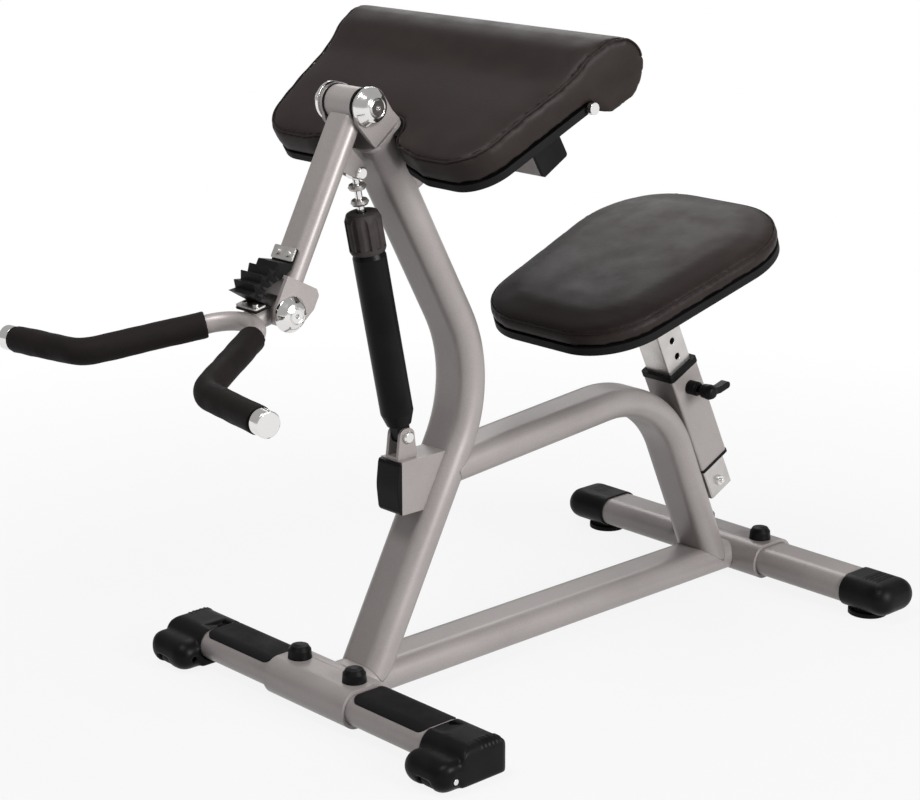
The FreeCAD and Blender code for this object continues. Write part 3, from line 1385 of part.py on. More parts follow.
# A chrome screw holds each side of the roll to the board's corner.
side_screw_half = named("side_screw_half", 8)
side_screw_high = named("side_screw_high", 7)
pad_screws = piece(new_body("pad_screws"))
screw = new_sketch(pad_screws, "YZ_Plane", pad_half - board_inset + pad_flare * board_rear)
circle(screw, board_rear - side_screw_half, -pad_under + board_thick / 2, side_screw_half)
screw_pad = pad(pad_screws, screw, side_screw_high, symmetric=False)
mirror(pad_screws, screw_pad)
seat_at(pad_screws, 0, preacher_y, preacher_height, preacher_tilt)

# The seat slides in a square sleeve that is welded behind the arch.
post_wall = named("post_wall", 2.5)
post_long = named("post_long", 420)
slide_gap = named("slide_gap", 0.25)
hole_pitch = named("hole_pitch", 29)
hole_half = named("hole_half", 5.3)
lock_place = named("lock_place", 207)
low_holes = 3
high_holes = 3
collar_high = named("collar_high", 9)
collar_lip = named("collar_lip", 1.5)
collar_deep = named("collar_deep", 30)
low_collar_high = named("low_collar_high", 4.5)

sleeve_body = piece(new_body("seat_sleeve"))
sleeve_section = new_sketch(sleeve_body, "XY_Plane", sleeve_start)
square(sleeve_section, sleeve_wide, sleeve_wide, square_round)
sleeve_bore = sleeve_wide - sleeve_wall * 2
square(sleeve_section, sleeve_bore, sleeve_bore, square_round / 2)
pad(sleeve_body, sleeve_section, sleeve_long, symmetric=False)
pin_half = named("pin_half", 5)
lock_hole = new_sketch(sleeve_body, "YZ_Plane")
circle(lock_hole, 0, lock_place, pin_half + loose_gap)
pocket(sleeve_body, lock_hole, sleeve_wide, symmetric=False, reverse=True)
seat_at(sleeve_body, 0, post_y, post_height, post_lean)

collar_bore = post_wide + slide_gap * 2
collar_liner = sleeve_bore - slide_gap


def collar(name, face, flange, inward):
    body = new_body(name)
    lip = sleeve_wide + collar_lip * 2
    ring = new_sketch(body, "XY_Plane", face)
    square(ring, lip, lip, square_round + collar_lip)
    square(ring, collar_bore, collar_bore, square_round / 2)
    pad(body, ring, flange, symmetric=False, reverse=inward > 0)
    liner = new_sketch(body, "XY_Plane", face)
    square(liner, collar_liner, collar_liner, square_round / 2)
    square(liner, collar_bore, collar_bore, square_round / 2)
    pad(body, liner, collar_deep, symmetric=False, reverse=inward < 0)
    seat_at(body, 0, post_y, post_height, post_lean)
    return body


collar_top = collar("collar_top", sleeve_start + sleeve_long, collar_high, -1)
collar_low = collar("collar_low", sleeve_start, low_collar_high, 1)
flush = new_sketch(collar_low, "YZ_Plane")
outline(flush, [(-sleeve_wide, -overrun), (loose_gap - sleeve_wide / 2, -overrun),
                (loose_gap - sleeve_wide / 2, sleeve_start), (-sleeve_wide, sleeve_start)])
pocket(collar_low, flush, sleeve_wide * 2)
liner_hole = new_sketch(collar_top, "YZ_Plane")
circle(liner_hole, 0, lock_place, pin_half + loose_gap)
pocket(collar_top, liner_hole, sleeve_wide, symmetric=False, reverse=True)
joined("sleeve_collars", [collar_top, collar_low])

post_stock = new_body("post_stock")
post_section = new_sketch(post_stock, "XY_Plane")
square(post_section, post_wide, post_wide, square_round * 0.75)
post_bore = post_wide - post_wall * 2
square(post_section, post_bore, post_bore, square_round / 4)
pad(post_stock, post_section, post_long, symmetric=False)
for step in range(-low_holes, high_holes + 1):
    hole = new_sketch(post_stock, "YZ_Plane")
    circle(hole, 0, lock_place + hole_pitch * step, hole_half)
    pocket(post_stock, hole, post_wide, symmetric=False, reverse=True)
stop_place = named("stop_place", 20)
stop_half = named("stop_half", 5)
stop_hole = new_sketch(post_stock, "YZ_Plane")
circle(stop_hole, 0, stop_place, stop_half)
pocket(post_stock, stop_hole, post_wide, symmetric=False, reverse=True)
seat_at(post_stock, 0, post_y, post_height, post_lean)

seat_plate_thick = named("seat_plate_thick", 5)
seat_plate_long = named("seat_plate_long", 190)
seat_plate_wide = named("seat_plate_wide", 130)
seat_middle = named("seat_middle", 22)
above_plate = half_space("above_plate", seat_y + seat_plate_thick * sine(seat_tilt),
                         seat_height - seat_plate_thick * cosine(seat_tilt), seat_tilt)
cut_away("seat_post", post_stock, [above_plate])

stop_bolt = piece(new_body("post_stop_bolt"))
stop_profile = new_sketch(stop_bolt, "XZ_Plane")
stop_wall = post_wide / 2 - post_wall
stop_out = named("stop_out", 9)
outline(stop_profile, [(stop_wall - stop_half, stop_place), (post_wide / 2 + stop_out, stop_place),
                       (post_wide / 2 + stop_out, stop_place + stop_half * 0.7),
                       (post_wide / 2 + stop_half * 0.9, stop_place + stop_half * 0.7),
                       (post_wide / 2 + stop_half * 0.9, stop_place + stop_half * 1.5),
                       (post_wide / 2, stop_place + stop_half * 1.5),
                       (post_wide / 2, stop_place + stop_half), (stop_wall, stop_place + stop_half),
                       (stop_wall, stop_place + stop_half * 1.5),
                       (stop_wall - stop_half, stop_place + stop_half * 1.5)])
stop_axis = stop_profile.addGeometry(Part.LineSegment(
    Vector(0, number_of(stop_place), 0), Vector(1, number_of(stop_place), 0)), True)
stop_profile.addConstraint(Sketcher.Constraint("Horizontal", stop_axis))
fix(stop_profile, "DistanceY", stop_axis, 1, stop_place)
revolve(stop_bolt, stop_profile, "Axis0")
seat_at(stop_bolt, 0, post_y, post_height, post_lean)

seat_plate = piece(new_body("seat_plate"))
plate_outline = new_sketch(seat_plate, "XY_Plane")
square(plate_outline, seat_plate_wide, seat_plate_long, square_round * 3, 0, seat_middle)
pad(seat_plate, plate_outline, seat_plate_thick, symmetric=False, reverse=True)
seat_at(seat_plate, 0, seat_y, seat_height, seat_tilt)

# The seat narrows to the front; a black board carries its crowned cushion.
seat_front = named("seat_front", 199)
seat_rear = named("seat_rear", 222)
seat_front_half = named("seat_front_half", 146.5)
seat_rear_half = named("seat_rear_half", 193.6)
seat_front_round = named("seat_front_round", 104)
seat_rear_round = named("seat_rear_round", 126)
seat_board = named("seat_board", 12)
seat_rim = named("seat_rim", 38)
seat_crown = named("seat_crown", 12)


def seat_plan(sketch, inset):
    outline(sketch, [
        (-seat_front_half + inset, -seat_front + inset, seat_front_round - inset),
        (seat_front_half - inset, -seat_front + inset, seat_front_round - inset),
        (seat_rear_half - inset, seat_rear - inset, seat_rear_round - inset),
        (-seat_rear_half + inset, seat_rear - inset, seat_rear_round - inset)])


seat_base = piece(new_body("seat_base"))
base_sketch = new_sketch(seat_base, "XY_Plane")
seat_plan(base_sketch, board_inset)
pad(seat_base, base_sketch, seat_board, symmetric=False)
seat_at(seat_base, 0, seat_y, seat_height, seat_tilt)

seat_pad = piece(new_body("seat_pad"))
levels = [(seat_board + slide_gap, board_inset), (seat_board + seat_rim * 0.22, loose_gap),
          (seat_rim * 0.8, loose_gap), (seat_rim, seat_board * 0.4),
          (seat_rim + seat_crown * 0.42, seat_board * 1.5),
          (seat_rim + seat_crown * 0.85, seat_board * 4), (seat_rim + seat_crown, seat_board * 7)]
layers = []
for level, inset in levels:
    layer = new_sketch(seat_pad, "XY_Plane", level)
    seat_plan(layer, inset)
    layers.append(layer)
seat_loft = seat_pad.newObject("PartDesign::AdditiveLoft", "seat_loft")
seat_loft.Profile = layers[0]
seat_loft.Sections = layers[1:]
seat_loft.Ruled = True
seat_at(seat_pad, 0, seat_y, seat_height, seat_tilt)

# A sprung pin in a welded nut locks the post; its lever turns with it.
pin_nut_half = named("pin_nut_half", 11)
pin_nut_high = named("pin_nut_high", 16)
spring_half = named("spring_half", 7.6)
spring_wire = named("spring_wire", 1)
pin_reach = named("pin_reach", 8)
knob_pin_half = named("knob_pin_half", 12)
lever_long = named("lever_long", 42)
lever_half = named("lever_half", 5)
pin_travel = named("pin_travel", 9)
nut = piece(new_body("pin_nut"))
nut_profile = new_sketch(nut, "XY_Plane")
nut_start = sleeve_wide / 2
nut_end = nut_start + pin_nut_high
neck_end = nut_end + pin_nut_high * 0.2
outline(nut_profile, [(nut_start, pin_half + running_gap), (nut_start, pin_nut_half),
                      (nut_end, pin_nut_half), (nut_end, pin_nut_half * 0.85),
                      (neck_end, pin_nut_half * 0.85), (neck_end, pin_half + running_gap),
                      (neck_end - spring_wire, pin_half + running_gap),
                      (neck_end - spring_wire, spring_half + running_gap),
                      (nut_start + spring_wire * 2, spring_half + running_gap),
                      (nut_start + spring_wire * 2, pin_half + running_gap)])
revolve(nut, nut_profile, "H_Axis")
seat_at(nut, 0, post_y - lock_place * sine(post_lean),
        post_height + lock_place * cosine(post_lean), post_lean)

pop_pin = piece(new_body("pop_pin"))
pin_profile = new_sketch(pop_pin, "XY_Plane")
pin_tip = post_wide / 2 + loose_gap
grip_start = neck_end + loose_gap + pin_travel
outline(pin_profile, [(pin_tip, 0), (pin_tip, pin_half * 0.7), (pin_tip + pin_half * 0.3, pin_half),
                      (grip_start, pin_half), (grip_start, knob_pin_half * 0.9),
                      (grip_start + knob_pin_half, knob_pin_half, knob_pin_half * 0.3),
                      (grip_start + knob_pin_half * 1.7, knob_pin_half * 0.7, knob_pin_half * 0.4),
                      (grip_start + knob_pin_half * 1.7, 0)])
revolve(pop_pin, pin_profile, "H_Axis")
lever = new_sketch(pop_pin, "YZ_Plane", grip_start + knob_pin_half * 0.2)
outline(lever, [(0, -lever_half), (lever_long * 0.5, -lever_half * 0.9),
                (lever_long, lever_half * 0.2, lever_half * 0.9),
                (lever_long, lever_half * 2.4, lever_half), (lever_long * 0.5, lever_half * 1.2),
                (0, lever_half)])
pad(pop_pin, lever, knob_pin_half * 1.1, symmetric=False)
seat_at(pop_pin, 0, post_y - lock_place * sine(post_lean),
        post_height + lock_place * cosine(post_lean))


doc.recompute()
for thing in doc.Objects:
    if "Invalid" in thing.State or "Error" in thing.State:
        raise RuntimeError("%s did not compute" % thing.Name)
os.makedirs("parts", exist_ok=True)
for thing in pieces:
    shape = thing.Shape
    if shape.isNull() or not shape.isValid() or not shape.Solids:
        raise RuntimeError("%s has no sound solid" % thing.Label)
    shape.exportStep(os.path.join("parts", thing.Label + ".step"))
    box = shape.BoundBox
    print("%-24s %2d solids %10.1f cm3  y %7.1f to %7.1f  z %7.1f to %7.1f" % (
        thing.Label, len(shape.Solids), shape.Volume / 1000,
        box.YMin, box.YMax, box.ZMin, box.ZMax))
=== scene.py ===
import math

import bpy
import numpy as np
from mathutils import Matrix, Vector, noise
from mathutils.bvhtree import BVHTree
from mathutils.kdtree import KDTree


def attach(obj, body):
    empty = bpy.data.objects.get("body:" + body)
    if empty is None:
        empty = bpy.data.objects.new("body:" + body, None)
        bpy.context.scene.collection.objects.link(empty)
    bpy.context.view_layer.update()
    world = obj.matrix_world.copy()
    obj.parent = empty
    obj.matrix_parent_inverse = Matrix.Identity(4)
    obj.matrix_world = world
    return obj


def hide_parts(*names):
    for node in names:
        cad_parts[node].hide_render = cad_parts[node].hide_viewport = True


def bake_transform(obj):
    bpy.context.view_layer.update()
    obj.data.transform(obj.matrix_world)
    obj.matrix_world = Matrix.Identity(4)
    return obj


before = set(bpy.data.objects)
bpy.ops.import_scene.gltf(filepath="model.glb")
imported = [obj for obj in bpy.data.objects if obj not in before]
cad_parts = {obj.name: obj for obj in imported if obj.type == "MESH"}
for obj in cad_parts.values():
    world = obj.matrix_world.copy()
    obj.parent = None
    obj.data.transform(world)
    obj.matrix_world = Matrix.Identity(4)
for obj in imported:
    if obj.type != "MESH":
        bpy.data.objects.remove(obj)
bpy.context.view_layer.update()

# The machine stands on a pale studio floor. The camera looks down on it from the handle's
# side, a little to its right, with soft lamps over, behind and beside it.
camera_place = (2.27108, -2.15398, 1.29548)
camera_turn = (73.898, 0, 47.009)
lens_mm = 90.12
film_mm = 36
floor_half = 30
floor_tone = (0.4, 0.4, 0.4, 1)
white_near, white_far, white_least = 0.7, 1.9, 0.88
room_light, mirror_share = 0.16, 0.35
lamp_list = (
    ("side_lamp", (3.4, 0.3, 1.6), 1.6, 135),
    ("key_lamp", (0.1, -1.6, 3.3), 1.4, 75),
    ("back_lamp", (-2.2, 2.2, 2.6), 1.8, 26),
)
lamp_target = Vector((0, 0.05, 0.45))

camera = bpy.data.objects.new("camera", bpy.data.cameras.new("camera"))
camera.location = camera_place
camera.rotation_euler = [math.radians(angle) for angle in camera_turn]
camera.data.lens = lens_mm
camera.data.sensor_width = film_mm
camera.data.clip_end = 100
bpy.context.collection.objects.link(camera)
bpy.context.scene.camera = camera
bpy.context.scene.view_settings.view_transform = "Standard"


class Shades:
    """Puts nodes in one node tree and joins them by the names of their sockets."""

    def __init__(self, tree):
        self.tree = tree

    def add(self, kind, values=None, **settings):
        node = self.tree.nodes.new("ShaderNode" + kind)
        for name, value in settings.items():
            setattr(node, name, value)
        for socket, value in (values or {}).items():
            if isinstance(value, bpy.types.NodeSocket):
                self.tree.links.new(value, node.inputs[socket])
            else:
                node.inputs[socket].default_value = value
        return node

    def maths(self, operation, first, second=0.0, third=0.0):
        node = self.add("Math", {0: first, 1: second, 2: third}, operation=operation)
        return node.outputs[0]

    def mix(self, factor, first, second):
        node = self.add("Mix", {0: factor, 6: first, 7: second}, data_type="RGBA")
        return node.outputs[2]

    def between(self, value, low, high, to_low, to_high):
        node = self.add("MapRange", {0: value, 1: low, 2: high, 3: to_low, 4: to_high})
        return node.outputs[0]

    def drive(self, shader, colour, rough, bump):
        """Gives a shader its colour, roughness and bumped normal."""
        for socket, value in (("Base Color", colour), ("Roughness", rough),
                              ("Normal", bump.outputs[0])):
            self.tree.links.new(value, shader.inputs[socket])


def new_material(name):
    material = bpy.data.materials.new(name)
    material.use_nodes = True
    shades = Shades(material.node_tree)
    shader = material.node_tree.nodes["Principled BSDF"]
    return material, shades, shader


for name, place, size, power in lamp_list:
    lamp = bpy.data.objects.new(name, bpy.data.lights.new(name, "AREA"))
    lamp.data.shape = "DISK"
    lamp.data.size = size
    lamp.data.energy = power
    lamp.location = place
    lamp.rotation_euler = (lamp_target - Vector(place)).to_track_quat("-Z", "Y").to_euler()
    bpy.context.collection.objects.link(lamp)

floor_mesh = bpy.data.meshes.new("floor")
floor_mesh.from_pydata(
    [(-floor_half, -floor_half, 0), (floor_half, -floor_half, 0),
     (floor_half, floor_half, 0), (-floor_half, floor_half, 0)], [], [(0, 1, 2, 3)])
floor = bpy.data.objects.new("floor", floor_mesh)
bpy.context.collection.objects.link(floor)
floor_paint, shades, shader = new_material("floor_paint")
shader.inputs["Base Color"].default_value = floor_tone
shader.inputs["Roughness"].default_value = 0.9
rays = shades.add("LightPath")
unlit = shades.add("Emission", {"Color": (1, 1, 1, 1), "Strength": 1.0})
away = shades.add("VectorMath", {0: shades.add("TexCoord").outputs["Object"]}, operation="LENGTH")
white_share = shades.between(away.outputs["Value"], white_near, white_far, white_least, 1.0)
seen = shades.maths("MAXIMUM", rays.outputs["Is Camera Ray"], rays.outputs["Is Glossy Ray"])
seen = shades.maths("MAXIMUM", seen, rays.outputs["Is Transmission Ray"])
blend = shades.add("MixShader", {
    0: shades.maths("MULTIPLY", seen, white_share), 1: shader.outputs[0], 2: unlit.outputs[0]})
output = floor_paint.node_tree.nodes["Material Output"]
floor_paint.node_tree.links.new(blend.outputs[0], output.inputs["Surface"])
floor_mesh.materials.append(floor_paint)

world = bpy.data.worlds.new("studio")
bpy.context.scene.world = world
world.use_nodes = True
shades = Shades(world.node_tree)
sky = world.node_tree.nodes["Background"]
rays = shades.add("LightPath")
seen = shades.maths("MAXIMUM", rays.outputs["Is Camera Ray"], rays.outputs["Is Transmission Ray"])
dimmed = shades.maths("MULTIPLY", rays.outputs["Is Glossy Ray"], mirror_share)
seen = shades.maths("MAXIMUM", seen, dimmed)
sky.inputs["Color"].default_value = (1, 1, 1, 1)
shades.tree.links.new(shades.between(seen, 0, 1, room_light, 1.0), sky.inputs["Strength"])


def new_group(name, inputs, outputs):
    """A shader node group with named float inputs and named outputs."""
    group = bpy.data.node_groups.new(name, "ShaderNodeTree")
    for label, value in inputs:
        socket = group.interface.new_socket(label, in_out="INPUT", socket_type="NodeSocketFloat")
        socket.default_value = value
    for label, kind in outputs:
        group.interface.new_socket(label, in_out="OUTPUT", socket_type="NodeSocket" + kind)
    shades = Shades(group)
    nodes = shades.tree.nodes
    return group, shades, nodes.new("NodeGroupInput"), nodes.new("NodeGroupOutput")


# Pressed and rolled metal and moulded plastic have no sharp edges, so the light rolls
# over each one. The same effect gives a mask of the edges, where wear begins.
edge_group, shades, given, gives = new_group(
    "soft_edges", [("Radius", 0.001), ("Wear", 0.5)], [("Normal", "Vector"), ("Edge", "Float")])
rolled = shades.add("Bevel", {"Radius": given.outputs["Radius"]}, samples=4)
flat_face = shades.add("NewGeometry")
likeness = shades.add("VectorMath", {0: rolled.outputs[0], 1: flat_face.outputs["Normal"]},
                      operation="DOT_PRODUCT")
edge = shades.between(likeness.outputs["Value"], 1.0, 0.85, 0.0, 1.0)
rubbed = shades.add("TexNoise", {
    "Vector": shades.add("TexCoord").outputs["Object"], "Scale": 60.0, "Detail": 4.0})
patchy = shades.between(rubbed.outputs[0], 0.45, 0.7, 0.0, 1.0)
worn = shades.maths("MULTIPLY", shades.maths("MULTIPLY", edge, patchy), given.outputs["Wear"])
shades.tree.links.new(rolled.outputs[0], gives.inputs["Normal"])
shades.tree.links.new(worn, gives.inputs["Edge"])

# A fine grain gives the speckle of metallic paint, the bloom on rubber and the tooth of
# plastic. It puts out a height, a speckle and a broad, slow cloud.
grain_group, shades, given, gives = new_group(
    "fine_grain", [("Scale", 900), ("Broad Scale", 9)],
    [("Height", "Float"), ("Speckle", "Float"), ("Cloud", "Float")])
place = shades.add("TexCoord").outputs["Object"]
cells = shades.add("TexVoronoi", {"Vector": place, "Scale": given.outputs["Scale"]})
fine = shades.add("TexNoise", {
    "Vector": place, "Scale": shades.maths("MULTIPLY", given.outputs["Scale"], 0.5), "Detail": 2.0})
broad = shades.add("TexNoise", {
    "Vector": place, "Scale": given.outputs["Broad Scale"], "Detail": 5.0, "Roughness": 0.6})
shades.tree.links.new(shades.maths("ADD", fine.outputs[0], cells.outputs["Distance"]),
                      gives.inputs["Height"])
shades.tree.links.new(shades.add("SeparateColor", {0: cells.outputs["Color"]}).outputs[0],
                      gives.inputs["Speckle"])
shades.tree.links.new(broad.outputs[0], gives.inputs["Cloud"])


def placed_group(shades, group, **values):
    node = shades.add("Group", node_tree=group)
    for label, value in values.items():
        node.inputs[label.replace("_", " ")].default_value = value
    return node


def finish_slots(names, material):
    """Gives a finish to whole solids that keep the shape they have."""
    for name in names:
        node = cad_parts[name]
        node.data.materials.clear()
        node.data.materials.append(material)


# The welded frame is flat-oval steel tube with a baked silver paint: fine metal flakes
# under a clear layer, a little cloudy, and rubbed lighter along the edges.
silver_tone = (0.27, 0.243, 0.236, 1)
silver_light = (0.42, 0.385, 0.375, 1)
silver_paint, shades, shader = new_material("silver_paint")
edges = placed_group(shades, edge_group, Radius=0.0012, Wear=0.5)
grain = placed_group(shades, grain_group, Scale=1400, Broad_Scale=7)
flakes = shades.between(grain.outputs["Speckle"], 0.0, 1.0, 0.0, 0.35)
cloud = shades.between(grain.outputs["Cloud"], 0.3, 0.7, 0.0, 0.3)
tone = shades.mix(shades.maths("ADD", flakes, cloud), silver_tone, silver_light)
tone = shades.mix(edges.outputs["Edge"], tone, (0.68, 0.65, 0.63, 1))
bump = shades.add("Bump", {"Strength": 0.05, "Distance": 0.0002,
                           "Height": grain.outputs["Height"], "Normal": edges.outputs["Normal"]})
rough = shades.between(grain.outputs["Cloud"], 0.3, 0.7, 0.34, 0.44)
shades.drive(shader, tone, rough, bump)
shader.inputs["Metallic"].default_value = 0.25
shader.inputs["Specular IOR Level"].default_value = 0.35
shader.inputs["Coat Weight"].default_value = 0.1
shader.inputs["Coat Roughness"].default_value = 0.3
finish_slots([
    "base_beam", "front_upright", "head_plate", "rear_arch", "front_crossbar", "rear_crossbar",
    "front_saddle", "front_clamp", "rear_saddle", "rear_clamp", "cylinder_bracket",
    "cylinder_clevis", "fork_plates", "arm_barrel", "arm_tube", "arm_tab", "arm_fork",
    "handle_barrel", "handle_bars", "pad_support", "seat_sleeve", "seat_plate"], silver_paint)

# The seat post is bright zinc-plated square tube with the drawing lines left in it, which
# run along the post's own slope. The bellows' clamps and the stop rings are plated too.
post_slope = -25.7
zinc, shades, shader = new_material("zinc_plate")
edges = placed_group(shades, edge_group, Radius=0.0012, Wear=0.3)
place = shades.add("TexCoord").outputs["Object"]
stretch = shades.add("Mapping", {"Vector": place, "Rotation": (math.radians(post_slope), 0, 0),
                                 "Scale": (1, 1, 0.02)})
lines = shades.add("TexNoise", {"Vector": stretch.outputs[0], "Scale": 700.0, "Detail": 3.0})
cloud = shades.add("TexNoise", {"Vector": place, "Scale": 25.0, "Detail": 4.0})
tone = shades.mix(shades.between(cloud.outputs[0], 0.3, 0.7, 0, 1),
                  (0.50, 0.48, 0.465, 1), (0.64, 0.62, 0.60, 1))
bump = shades.add("Bump", {"Strength": 0.12, "Distance": 0.0002, "Height": lines.outputs[0],
                           "Normal": edges.outputs["Normal"]})
rough = shades.between(lines.outputs[0], 0.3, 0.7, 0.26, 0.4)
shades.drive(shader, tone, rough, bump)
shader.inputs["Metallic"].default_value = 0.9
finish_slots(["seat_post", "bellows_clamp_top", "bellows_clamp_low", "stop_rings"], zinc)

# Chrome covers the pins, bolts and round caps, the damper's rod and the plugs that close
# the handle's ends. It is a bright mirror with a faint haze.
chrome, shades, shader = new_material("bright_chrome")
edges = placed_group(shades, edge_group, Radius=0.0008, Wear=0.2)
grain = placed_group(shades, grain_group, Scale=500, Broad_Scale=30)
rough = shades.between(grain.outputs["Cloud"], 0.35, 0.7, 0.08, 0.2)
tone = shades.mix(edges.outputs["Edge"], (0.78, 0.77, 0.76, 1), (0.9, 0.9, 0.9, 1))
bump = shades.add("Bump", {"Strength": 0.02, "Distance": 0.0001,
                           "Height": grain.outputs["Height"], "Normal": edges.outputs["Normal"]})
shades.drive(shader, tone, rough, bump)
shader.inputs["Metallic"].default_value = 1.0
finish_slots(["clamp_bolts", "cylinder_pin", "pivot_shaft", "pivot_caps", "tab_bolt",
              "hinge_shaft", "hinge_caps", "handle_plugs", "piston_rod", "pad_screws",
              "post_stop_bolt", "wheel_axles"], chrome)

# The black pieces are moulded plastic, rubber, baked paint and stained board. They share
# one build and differ in tone, gloss and the size of their grain.
edge_lift = 2.2


def black_finish(name, tone, light, rough_range, scale, bump_share, radius, gloss=0.1):
    """A dark finish, cloudy between two tones, with a fine grain and soft light edges."""
    material, shades, shader = new_material(name)
    edges = placed_group(shades, edge_group, Radius=radius, Wear=0.5)
    grain = placed_group(shades, grain_group, Scale=scale, Broad_Scale=22)
    cloud = shades.between(grain.outputs["Cloud"], 0.35, 0.75, 0, 1)
    colour = shades.mix(cloud, tone, light)
    worn = tuple(share * edge_lift for share in light[:3]) + (1,)
    colour = shades.mix(edges.outputs["Edge"], colour, worn)
    bump = shades.add("Bump", {"Strength": bump_share, "Distance": 0.0003,
                               "Height": grain.outputs["Height"],
                               "Normal": edges.outputs["Normal"]})
    rough = shades.between(grain.outputs["Cloud"], 0.3, 0.7, *rough_range)
    shades.drive(shader, colour, rough, bump)
    shader.inputs["Specular IOR Level"].default_value = gloss
    return material


black_plastic = black_finish(
    "black_plastic", (0.0032, 0.003, 0.0031, 1), (0.0075, 0.0068, 0.0066, 1),
    rough_range=(0.32, 0.5), scale=1500, bump_share=0.12, radius=0.002)
finish_slots(["bolt_caps", "bracket_end_cap", "barrel_bushes", "support_end_caps", "sleeve_collars",
              "pin_nut", "pop_pin"], black_plastic)
knob_plastic = black_finish(
    "knob_plastic", (0.035, 0.03, 0.028, 1), (0.06, 0.052, 0.05, 1),
    rough_range=(0.4, 0.6), scale=1200, bump_share=0.2, radius=0.0015)
finish_slots(["adjuster_knob"], knob_plastic)
rubber = black_finish(
    "black_rubber", (0.004, 0.0036, 0.0037, 1), (0.009, 0.008, 0.0083, 1),
    rough_range=(0.5, 0.75), scale=1100, bump_share=0.25, radius=0.0015)
finish_slots(["rear_feet", "wheel_right", "wheel_left", "grip_treads"], rubber)
cylinder_paint = black_finish(
    "cylinder_paint", (0.0026, 0.0024, 0.0026, 1), (0.0055, 0.0052, 0.0052, 1),
    rough_range=(0.3, 0.42), scale=700, bump_share=0.15, radius=0.001)
finish_slots(["cylinder_body"], cylinder_paint)
black_board = black_finish(
    "black_board", (0.006, 0.006, 0.006, 1), (0.012, 0.011, 0.011, 1),
    rough_range=(0.5, 0.7), scale=800, bump_share=0.2, radius=0.001)
finish_slots(["preacher_base", "seat_base"], black_board)

# The seat cushion is moulded foam under dark brown vinyl. A top panel is sewn to a side
# band all round, with a cord in the seam and a row of stitches beside it.
seat_corners = ((-0.1465, -0.199, 0.104), (0.1465, -0.199, 0.104),
                (0.1936, 0.222, 0.126), (-0.1936, 0.222, 0.126))
seam_inset = 0.005
thread_inset = 0.0035
seam_thick = 0.0026
thread_thick = 0.0009
stitch_long = 0.0045
stitch_gap = 0.0022
cushion_voxel = 0.006
cushion_slack = 0.0015
cushion_cap = 0.004
outline_step = 0.004
cast_height = 0.2
seam_deep, seam_reach, seam_gather, gather_step = 0.0016, 0.004, 0.25, 1.9
seat_held = 0.02
press_steps, calm_rounds = 20, 14
vinyl = black_finish(
    "brown_vinyl", (0.017, 0.0118, 0.0108, 1), (0.023, 0.0165, 0.0152, 1),
    rough_range=(0.42, 0.55), scale=420, bump_share=0.25, radius=0.004, gloss=0.14)
thread_finish = black_finish(
    "brown_thread", (0.02, 0.015, 0.014, 1), (0.05, 0.04, 0.037, 1),
    rough_range=(0.6, 0.8), scale=2500, bump_share=0.3, radius=0.0005)


def local_place(y, z, tilt):
    """The place and slope of a board: its own x, y, z to the machine's."""
    return Matrix.Translation((0, y, z)) @ Matrix.Rotation(math.radians(tilt), 4, "X")


def apply_modifiers(piece):
    graph = bpy.context.evaluated_depsgraph_get()
    mesh = bpy.data.meshes.new_from_object(piece.evaluated_get(graph))
    piece.modifiers.clear()
    piece.data = mesh


def new_piece(name, mesh, material, body):
    """A piece of the given mesh, which moves with a body if one is named."""
    piece = bpy.data.objects.new(name, mesh)
    bpy.context.collection.objects.link(piece)
    mesh.materials.clear()
    mesh.materials.append(material)
    mesh.shade_smooth()
    if body:
        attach(piece, body)
    return piece


def rounded(corners, spacing, closed=True):
    """Points along an outline whose corners, given as x, y and radius, are arcs."""
    points = []
    count = len(corners)
    for index, (x, y, radius) in enumerate(corners):
        here = Vector((x, y))
        if not closed and index in (0, count - 1):
            points.append(here)
            continue
        before = Vector(corners[index - 1][:2]) - here
        after = Vector(corners[(index + 1) % count][:2]) - here
        half_angle = before.angle(after) / 2
        reach = radius / math.tan(half_angle)
        inward = (before.normalized() + after.normalized()).normalized()
        middle = here + inward * radius / math.sin(half_angle)
        start = here + before.normalized() * reach - middle
        sweep = start.angle_signed(here + after.normalized() * reach - middle)
        steps = max(2, round(abs(sweep) * radius / spacing))
        for step in range(steps + 1):
            turn = Matrix.Rotation(-sweep * step / steps, 2)
            points.append(middle + turn @ start)
    even = []
    ends = points[1:] + points[:1] if closed else points[1:]
    for first, last in zip(points, ends):
        pieces = max(1, round((last - first).length / spacing))
        even += [first.lerp(last, step / pieces) for step in range(pieces)]
    return even if closed else even + points[-1:]


def calmed(mesh, values, rounds):
    """Spreads each point's value over its neighbours, as thick foam does under a cover."""
    ends = np.array([edge.vertices[:] for edge in mesh.edges])
    values = np.array(values)
    shared = np.bincount(ends.ravel(), minlength=len(values)) + 1
    for _ in range(rounds):
        total = values.copy()
        np.add.at(total, ends[:, 0], values[ends[:, 1]])
        np.add.at(total, ends[:, 1], values[ends[:, 0]])
        values = total / shared
    return [float(value) for value in values]


def even_copy(node, voxel, smooth_rounds=0):
    """A solid's form in a mesh of even cells, smoothed as often as asked."""
    form = bpy.data.objects.new(node + "_form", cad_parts[node].data.copy())
    bpy.context.collection.objects.link(form)
    even = form.modifiers.new("even_mesh", "REMESH")
    even.mode = "VOXEL"
    even.voxel_size = voxel
    if smooth_rounds:
        smooth = form.modifiers.new("smooth", "SMOOTH")
        smooth.factor = 0.5
        smooth.iterations = smooth_rounds
    apply_modifiers(form)
    return form


